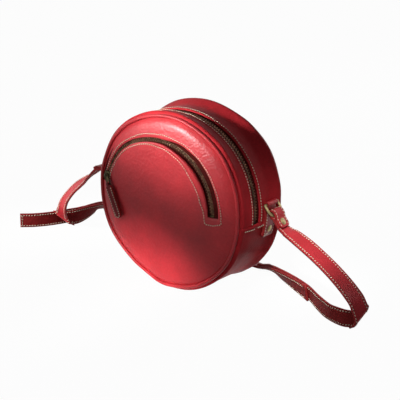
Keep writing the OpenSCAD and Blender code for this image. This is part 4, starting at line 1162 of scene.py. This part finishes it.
def build_keeper():
    """A strap loop: a rounded rectangle, drawn out to its width and given its thickness."""
    half_w, half_h, corner = 9.4, 3.2, 1.4
    turn = Matrix.Rotation(REAR_SLOPE, 3, "Z")
    centre = HEEL + turn @ Vector((KEEPER_U, 0, 0))
    centre.z = KEEPER_T + half_h
    bm = bmesh.new()
    loop = []
    for cy, cz, start in ((1, 1, 0), (-1, 1, 90), (-1, -1, 180), (1, -1, 270)):
        for k in range(5):
            a = math.radians(start + 90 * k / 4)
            loop.append(bm.verts.new(centre + turn @ Vector((
                -KEEPER_W / 2, cy * (half_w - corner) + corner * math.cos(a),
                cz * (half_h - corner) + corner * math.sin(a)))))
    edges = [bm.edges.new(pair) for pair in zip(loop, loop[1:] + loop[:1])]
    band = bmesh.ops.extrude_edge_only(bm, edges=edges)["geom"]
    bmesh.ops.translate(bm, vec=turn @ Vector((KEEPER_W, 0, 0)),
                        verts=[g for g in band if isinstance(g, bmesh.types.BMVert)])
    bmesh.ops.recalc_face_normals(bm, faces=bm.faces)
    out = sum(f.normal.dot(f.calc_center_median() - centre) for f in bm.faces)
    bmesh.ops.solidify(bm, geom=bm.faces, thickness=-KEEPER_T if out > 0 else KEEPER_T)
    bmesh.ops.recalc_face_normals(bm, faces=bm.faces)
    wide = turn @ Vector((1, 0, 0))
    for face in bm.faces:
        face.material_index = PAINTED if abs(face.normal.dot(wide)) > 0.9 else 0
    ease_rims(bm, 0.3)
    make_piece(bm, "strap_keeper_loop", ["strap_hide", "painted_edge"], nodes=("strap_keeper",))


# ---- tabs, rings and pulls

# The tabs' thickness and half width
TAB_T, TAB_HALF_W = 1.6, 9.4
# Angles on the drum: the tab's foot, and the ring's bar
TAB_FOOT, TAB_BAR = -17, 4


def on_drum(turn, r):
    """A place at an angle on the drum's side, from the drum's middle, and the way out there."""
    out = Vector((math.cos(turn), 0, math.sin(turn)))
    return out * r, out


def build_ring_tabs():
    """A leather loop: up the side, round the ring's bar and down again under itself."""
    rows = [on_drum(math.radians(TAB_FOOT + (TAB_BAR - 1.6 - TAB_FOOT) * k / 12), 102.75)
            for k in range(13)]
    bar = Vector((BAR.x, 0, BAR.z - BAG_Z))
    for k in range(1, 12):
        place, out = on_drum(math.radians(TAB_BAR - 20 + 210 * k / 12), 2.45)
        rows.append((bar + place, out))
    for k in range(12):
        place, out = on_drum(math.radians(2.2 - 19.2 * k / 11), 101.1)
        rows.append((place, -out))
    for side, name in ((1, "right"), (-1, "left")):
        frames = [(Vector((side * p.x, BAR.y, BAG_Z + p.z)), Vector((0, TAB_HALF_W, 0)),
                   Vector((side * out.x, 0, out.z)) * TAB_T / 2) for p, out in rows]
        bm = bmesh.new()
        sweep(bm, STRAP_OUTLINE, frames, STRAP_PAINTED)
        bmesh.ops.recalc_face_normals(bm, faces=bm.faces)
        front = frames[:13]
        for v in (-0.8, 0.8):
            stitch_row(bm, [p + a * v + f for p, a, f in front],
                       [f.normalized() for _, _, f in front], SEWN)
        foot, half, face = frames[1]
        stitch_row(bm, [foot + half * (-0.8 + 1.6 * k / 8) + face for k in range(9)],
                   [face.normalized()] * 9, SEWN)
        make_piece(bm, f"{name}_ring_tab", ["bag_hide", *SEWN_LEATHER], nodes=(f"{name}_tab",),
                   fix=False)


# A pull's leather: half widths of leaf, neck and stitch row, and half its thickness
LEAF_W, NECK_W, LEAF_SEWN_W, LEAF_T = 4.25, 2.1, 3.1, 1.35


def pull_tab(name, pin, hang, wide, length, lift=0.0, tilt=0.0):
    """A folded leather tab: two leaves stitched together below the pull's eye, which is in the
    strap that joins them. Its free end stands off the bag by a few hundredths of its length."""
    hang = (hang - hang.cross(wide) * tilt).normalized()
    thick = hang.cross(wide).normalized()
    pin = pin - thick * lift
    turn = Matrix((wide, thick, hang)).transposed().to_4x4()
    end = 12.4 + length - LEAF_W
    outline = [(12.0, NECK_W), (13.2, LEAF_W * 0.86), (16.5, LEAF_W)]
    outline += [(end + LEAF_W * math.sin(math.radians(a)), LEAF_W * math.cos(math.radians(a)))
                for a in range(0, 91, 15)]
    outline += [(s, -w) for s, w in reversed(outline[:-1])]
    bm = bmesh.new()
    verts = [bm.verts.new(pin + hang * s + wide * w - thick * LEAF_T) for s, w in outline]
    made = bmesh.ops.extrude_face_region(bm, geom=[bm.faces.new(verts)])["geom"]
    bmesh.ops.translate(bm, vec=thick * 2 * LEAF_T,
                        verts=[g for g in made if isinstance(g, bmesh.types.BMVert)])
    bmesh.ops.recalc_face_normals(bm, faces=bm.faces)
    for face in bm.faces:
        if abs(face.normal.dot(thick)) < 0.5:
            face.material_index = PAINTED
    ease_rims(bm, 0.5)
    # the two plies of the neck, and the fold that joins them over the eye
    for place, size in ((hang * 10.8 - thick * 1.1, (3.6, 0.7, 3.2)),
                        (hang * 10.8 + thick * 1.1, (3.6, 0.7, 3.2)),
                        (hang * 9.2, (3.6, 2.8, 0.7))):
        bmesh.ops.create_cube(bm, size=1.0, matrix=Matrix.Translation(pin + place) @ turn
                              @ Matrix.Diagonal((*size, 1)))
    seam = [(14.5, LEAF_SEWN_W), (end, LEAF_SEWN_W)]
    seam += [(end + LEAF_SEWN_W * math.sin(math.radians(a)),
              LEAF_SEWN_W * math.cos(math.radians(a))) for a in range(15, 166, 15)]
    seam += [(end, -LEAF_SEWN_W), (14.5, -LEAF_SEWN_W)]
    for sign in (-1, 1):
        ring = [pin + hang * s + wide * w + thick * 1.36 * sign for s, w in seam]
        stitch_row(bm, ring, [thick * sign] * len(ring), SEWN, 2.7)
    make_piece(bm, name + "_leather", ["pull_leather_and_shade", *SEWN_LEATHER], name, (name + "_tab",),
               fix=False)


def build_pull_tabs():
    lean = math.radians(25)
    pull_tab("pocket_pull", Vector((-81.8, -43.25, 117.75)),
             Vector((math.sin(lean), 0, -math.cos(lean))),
             Vector((-math.cos(lean), 0, -math.sin(lean))), 38, lift=0.75, tilt=0.046)
    pull_tab("main_pull", Vector((-102.594, ZIP_Y, 92.334)), Vector((0, 0, -1)),
             Vector((0, 1, 0)), 32.3)


def build_metal():
    for node, body in (("main_slider", "main_slider"), ("pocket_slider", "pocket_slider"),
                       ("main_pull", "main_pull"), ("pocket_pull", "pocket_pull"),
                       ("main_zip_stops", "bag"), ("pocket_zip_stops", "bag")):
        cad_copy(node, body)
    for node in ("right_ring", "left_ring", "right_strap_rivet", "left_strap_rivet", "tab_rivets",
                 "buckle_frame", "buckle_prong", "buckle_rivet"):
        dress_node(node, "ring_brass")
    dress_node("back_stiffener", "fibre_board")


# ---- stage

def seen_white(tree):
    """1 for rays from the camera and for those that mirror or glass sends on, else 0."""
    camera, glossy, clear = (Shade(tree).node("LightPath", output=k) for k in (0, 3, 6))
    return (camera + glossy + clear).clamped()


def pale_floor(colour, share):
    """A matt pale surface; the camera sees a share of it as flat white, so its shadow is faint."""
    material = bpy.data.materials.new("pale_floor")
    material.use_nodes = True
    tree = material.node_tree
    tree.nodes.remove(tree.nodes["Principled BSDF"])
    seen = seen_white(tree)
    matt = seen.node("BsdfDiffuse", {}, {"Color": seen.mix(colour, (1.0, 1.0, 1.0))})
    white = seen.node("Emission", {}, {"Color": (1, 1, 1, 1), "Strength": 1.0})
    mixed = seen.node("MixShader", {}, {0: seen * share, 1: matt, 2: white})
    tree.links.new(mixed.socket, tree.nodes["Material Output"].inputs["Surface"])
    return material


def aim(light, place, target, roll=0.0):
    bpy.context.scene.collection.objects.link(light)
    light.location = place
    way = Vector(target) - Vector(place)
    turn = way.to_track_quat("-Z", "Y").to_matrix() @ Matrix.Rotation(math.radians(roll), 3, "Z")
    light.rotation_euler = turn.to_euler()


def panel_light(name, place, target, size, power, colour=(1, 1, 1)):
    data = bpy.data.lights.new(name, "AREA")
    data.shape, data.energy, data.color = "RECTANGLE", power, colour
    data.size, data.size_y = size
    aim(bpy.data.objects.new(name, data), place, target)


def pool_light(name, place, target, angle, power, softness, wide=1.0, roll=0.0):
    """A lamp that lights one soft oval area, like the edge of a window's light."""
    data = bpy.data.lights.new(name, "SPOT")
    data.spot_size, data.spot_blend = math.radians(angle), 0.8
    data.energy, data.shadow_soft_size = power, softness
    light = bpy.data.objects.new(name, data)
    light.scale = (wide, 1.0, 1.0)
    aim(light, place, target, roll)


def build_stage():
    bm = bmesh.new()
    bmesh.ops.create_grid(bm, x_segments=2, y_segments=2, size=4.0)
    mesh = bpy.data.meshes.new("floor")
    bm.to_mesh(mesh)
    bm.free()
    floor = bpy.data.objects.new("floor", mesh)
    bpy.context.scene.collection.objects.link(floor)
    mesh.materials.append(pale_floor((0.50, 0.46, 0.46), 0.97))

    world = bpy.data.worlds.new("studio")
    bpy.context.scene.world = world
    world.use_nodes = True
    tree = world.node_tree
    back = tree.nodes["Background"]
    back.inputs["Color"].default_value = (1.0, 1.0, 1.0, 1)
    tree.links.new((seen_white(tree) * 0.90 + 0.09).socket, back.inputs["Strength"])

    # soft windows round the bag, then narrow pools where the photo's leather shines
    panel_light("key", (-0.76, -0.78, 0.38), (0, 0, 0.13), (0.22, 0.34), 2.3, (1, 0.96, 0.98))
    panel_light("front", (0.40, -1.25, 0.45), (0.05, 0, 0.08), (0.6, 0.4), 0.25)
    panel_light("back", (0.2, 1.3, 0.40), (0, 0, 0.1), (0.7, 0.5), 2.6)
    panel_light("right", (1.15, 0.1, 0.45), (0, 0, 0.1), (0.5, 0.4), 0.35)
    pool_light("upper_pool", (-0.42, -0.86, 0.40), (0.006, -0.04, 0.186), 7.8, 82.0, 0.05, 1.6, -7)
    pool_light("lower_pool", (0.05, -0.95, 0.20), (-0.03, -0.04, 0.006), 6.2, 70.0, 0.04, 1.8, -12)
    pool_light("strap_pool", (0.45, -0.75, 0.95), (0.150, 0, 0.078), 7, 68.0, 0.04)
    pool_light("left_pool", (-0.75, -0.95, 0.60), (-0.240, 0.03, 0.040), 11, 72.0, 0.05)


# The photo's view: direction, distance, focal length and middle of the view in its pixels
AZIMUTH, ELEVATION, DISTANCE = 36.7, 17.0, 1.5
PICTURE, FOCAL, SENSOR = 400, 1345.0, 36.0
VIEW_MIDDLE = (187.2, 194.0)


def build_camera():
    azimuth, elevation = math.radians(AZIMUTH), math.radians(ELEVATION)
    back = Vector((math.sin(azimuth) * math.cos(elevation),
                   -math.cos(azimuth) * math.cos(elevation), math.sin(elevation)))
    data = bpy.data.cameras.new("photo_camera")
    data.sensor_width = SENSOR
    data.lens = FOCAL / PICTURE * SENSOR
    data.shift_x = (PICTURE / 2 - VIEW_MIDDLE[0]) / PICTURE
    data.shift_y = (VIEW_MIDDLE[1] - PICTURE / 2) / PICTURE
    data.clip_start, data.clip_end = 0.05, 20.0
    camera = bpy.data.objects.new("photo_camera", data)
    bpy.context.scene.collection.objects.link(camera)
    camera.location = Vector((0, 0, 0.1)) + back * DISTANCE
    camera.rotation_euler = back.to_track_quat("Z", "Y").to_euler()
    bpy.context.scene.camera = camera
    bpy.context.scene.view_settings.view_transform = "Standard"


# ---- operators, panel and run

class Undoable:
    """What all of the bag's operators share."""
    bl_options = {"REGISTER", "UNDO"}


class CIRCLEBAG_OT_camera(Undoable, bpy.types.Operator):
    """Adds the camera at the photo's angle"""
    bl_idname = "circlebag.camera"
    bl_label = "Camera"

    def execute(self, context):
        build_camera()
        return {"FINISHED"}


class CIRCLEBAG_OT_front(Undoable, bpy.types.Operator):
    """Makes the crowned front panel and its stitching"""
    bl_idname = "circlebag.front"
    bl_label = "Front panel"

    def execute(self, context):
        build_front_panel()
        build_pocket_stitching()
        return {"FINISHED"}


class CIRCLEBAG_OT_pocket_tapes(Undoable, bpy.types.Operator):
    """Makes the crescent zip's tapes"""
    bl_idname = "circlebag.pocket_tapes"
    bl_label = "Pocket tapes"

    def execute(self, context):
        build_pocket_tapes()
        return {"FINISHED"}


class CIRCLEBAG_OT_main_tapes(Undoable, bpy.types.Operator):
    """Makes the main zip's tapes"""
    bl_idname = "circlebag.main_tapes"
    bl_label = "Main tapes"

    def execute(self, context):
        build_main_tapes()
        return {"FINISHED"}


class CIRCLEBAG_OT_teeth(Undoable, bpy.types.Operator):
    """Makes both chains of teeth"""
    bl_idname = "circlebag.teeth"
    bl_label = "Teeth"

    def execute(self, context):
        build_main_teeth()
        build_pocket_teeth()
        return {"FINISHED"}


class CIRCLEBAG_OT_sides(Undoable, bpy.types.Operator):
    """Makes the strips beside the zip and the base"""
    bl_idname = "circlebag.sides"
    bl_label = "Side leather"

    def execute(self, context):
        build_sides()
        return {"FINISHED"}


class CIRCLEBAG_OT_side_stitching(Undoable, bpy.types.Operator):
    """Sews the zip and the end seams"""
    bl_idname = "circlebag.side_stitching"
    bl_label = "Side stitching"

    def execute(self, context):
        build_side_stitching()
        return {"FINISHED"}


class CIRCLEBAG_OT_pipings(Undoable, bpy.types.Operator):
    """Makes both piped rims"""
    bl_idname = "circlebag.pipings"
    bl_label = "Pipings"

    def execute(self, context):
        build_pipings()
        return {"FINISHED"}


class CIRCLEBAG_OT_back(Undoable, bpy.types.Operator):
    """Makes the back panel"""
    bl_idname = "circlebag.back"
    bl_label = "Back panel"

    def execute(self, context):
        build_back_panel()
        return {"FINISHED"}


class CIRCLEBAG_OT_linings(Undoable, bpy.types.Operator):
    """Makes the lining and the pocket's bag"""
    bl_idname = "circlebag.linings"
    bl_label = "Linings"

    def execute(self, context):
        build_linings()
        return {"FINISHED"}


class CIRCLEBAG_OT_ring_tabs(Undoable, bpy.types.Operator):
    """Makes the tabs that hold the rings"""
    bl_idname = "circlebag.ring_tabs"
    bl_label = "Ring tabs"

    def execute(self, context):
        build_ring_tabs()
        return {"FINISHED"}


class CIRCLEBAG_OT_straps(Undoable, bpy.types.Operator):
    """Makes the three straps with their stitching"""
    bl_idname = "circlebag.straps"
    bl_label = "Straps"

    def execute(self, context):
        build_straps()
        return {"FINISHED"}


class CIRCLEBAG_OT_keeper(Undoable, bpy.types.Operator):
    """Makes the strap's keeper loop"""
    bl_idname = "circlebag.keeper"
    bl_label = "Keeper"

    def execute(self, context):
        build_keeper()
        return {"FINISHED"}


class CIRCLEBAG_OT_pull_tabs(Undoable, bpy.types.Operator):
    """Makes the leather tabs on both pulls"""
    bl_idname = "circlebag.pull_tabs"
    bl_label = "Pull tabs"

    def execute(self, context):
        build_pull_tabs()
        return {"FINISHED"}


class CIRCLEBAG_OT_metal(Undoable, bpy.types.Operator):
    """Finishes rings, rivets, buckle, sliders and stops"""
    bl_idname = "circlebag.metal"
    bl_label = "Metal"

    def execute(self, context):
        build_metal()
        return {"FINISHED"}


class CIRCLEBAG_OT_stage(Undoable, bpy.types.Operator):
    """Adds the floor, the lamps and the background"""
    bl_idname = "circlebag.stage"
    bl_label = "Stage"

    def execute(self, context):
        build_stage()
        return {"FINISHED"}


OPERATORS = [
    CIRCLEBAG_OT_camera,
    CIRCLEBAG_OT_front,
    CIRCLEBAG_OT_pocket_tapes,
    CIRCLEBAG_OT_main_tapes,
    CIRCLEBAG_OT_teeth,
    CIRCLEBAG_OT_sides,
    CIRCLEBAG_OT_side_stitching,
    CIRCLEBAG_OT_pipings,
    CIRCLEBAG_OT_back,
    CIRCLEBAG_OT_linings,
    CIRCLEBAG_OT_ring_tabs,
    CIRCLEBAG_OT_straps,
    CIRCLEBAG_OT_keeper,
    CIRCLEBAG_OT_pull_tabs,
    CIRCLEBAG_OT_metal,
    CIRCLEBAG_OT_stage,
]


class CIRCLEBAG_PT_panel(bpy.types.Panel):
    """Lists the bag's pieces in the sidebar."""
    bl_label = "Circle bag"
    bl_space_type = "VIEW_3D"
    bl_region_type = "UI"
    bl_category = "Circle bag"

    def draw(self, context):
        for group in (context.scene.circle_bag_sizes, context.scene.circle_bag_colours):
            for name in group.__annotations__:
                self.layout.prop(group, name)
        for made in OPERATORS:
            self.layout.operator(made.bl_idname)


CLASSES = [BagSizes, BagColours, *OPERATORS, CIRCLEBAG_PT_panel]


def register():
    for made in CLASSES:
        bpy.utils.register_class(made)
    bpy.types.Scene.circle_bag_sizes = bpy.props.PointerProperty(type=BagSizes)
    bpy.types.Scene.circle_bag_colours = bpy.props.PointerProperty(type=BagColours)


def unregister():
    del bpy.types.Scene.circle_bag_colours
    del bpy.types.Scene.circle_bag_sizes
    for made in reversed(CLASSES):
        bpy.utils.unregister_class(made)


def main():
    register()
    for made in OPERATORS:
        group, name = made.bl_idname.split(".")
        getattr(getattr(bpy.ops, group), name)()
    bpy.context.view_layer.update()


if __name__ == "__main__":
    main()
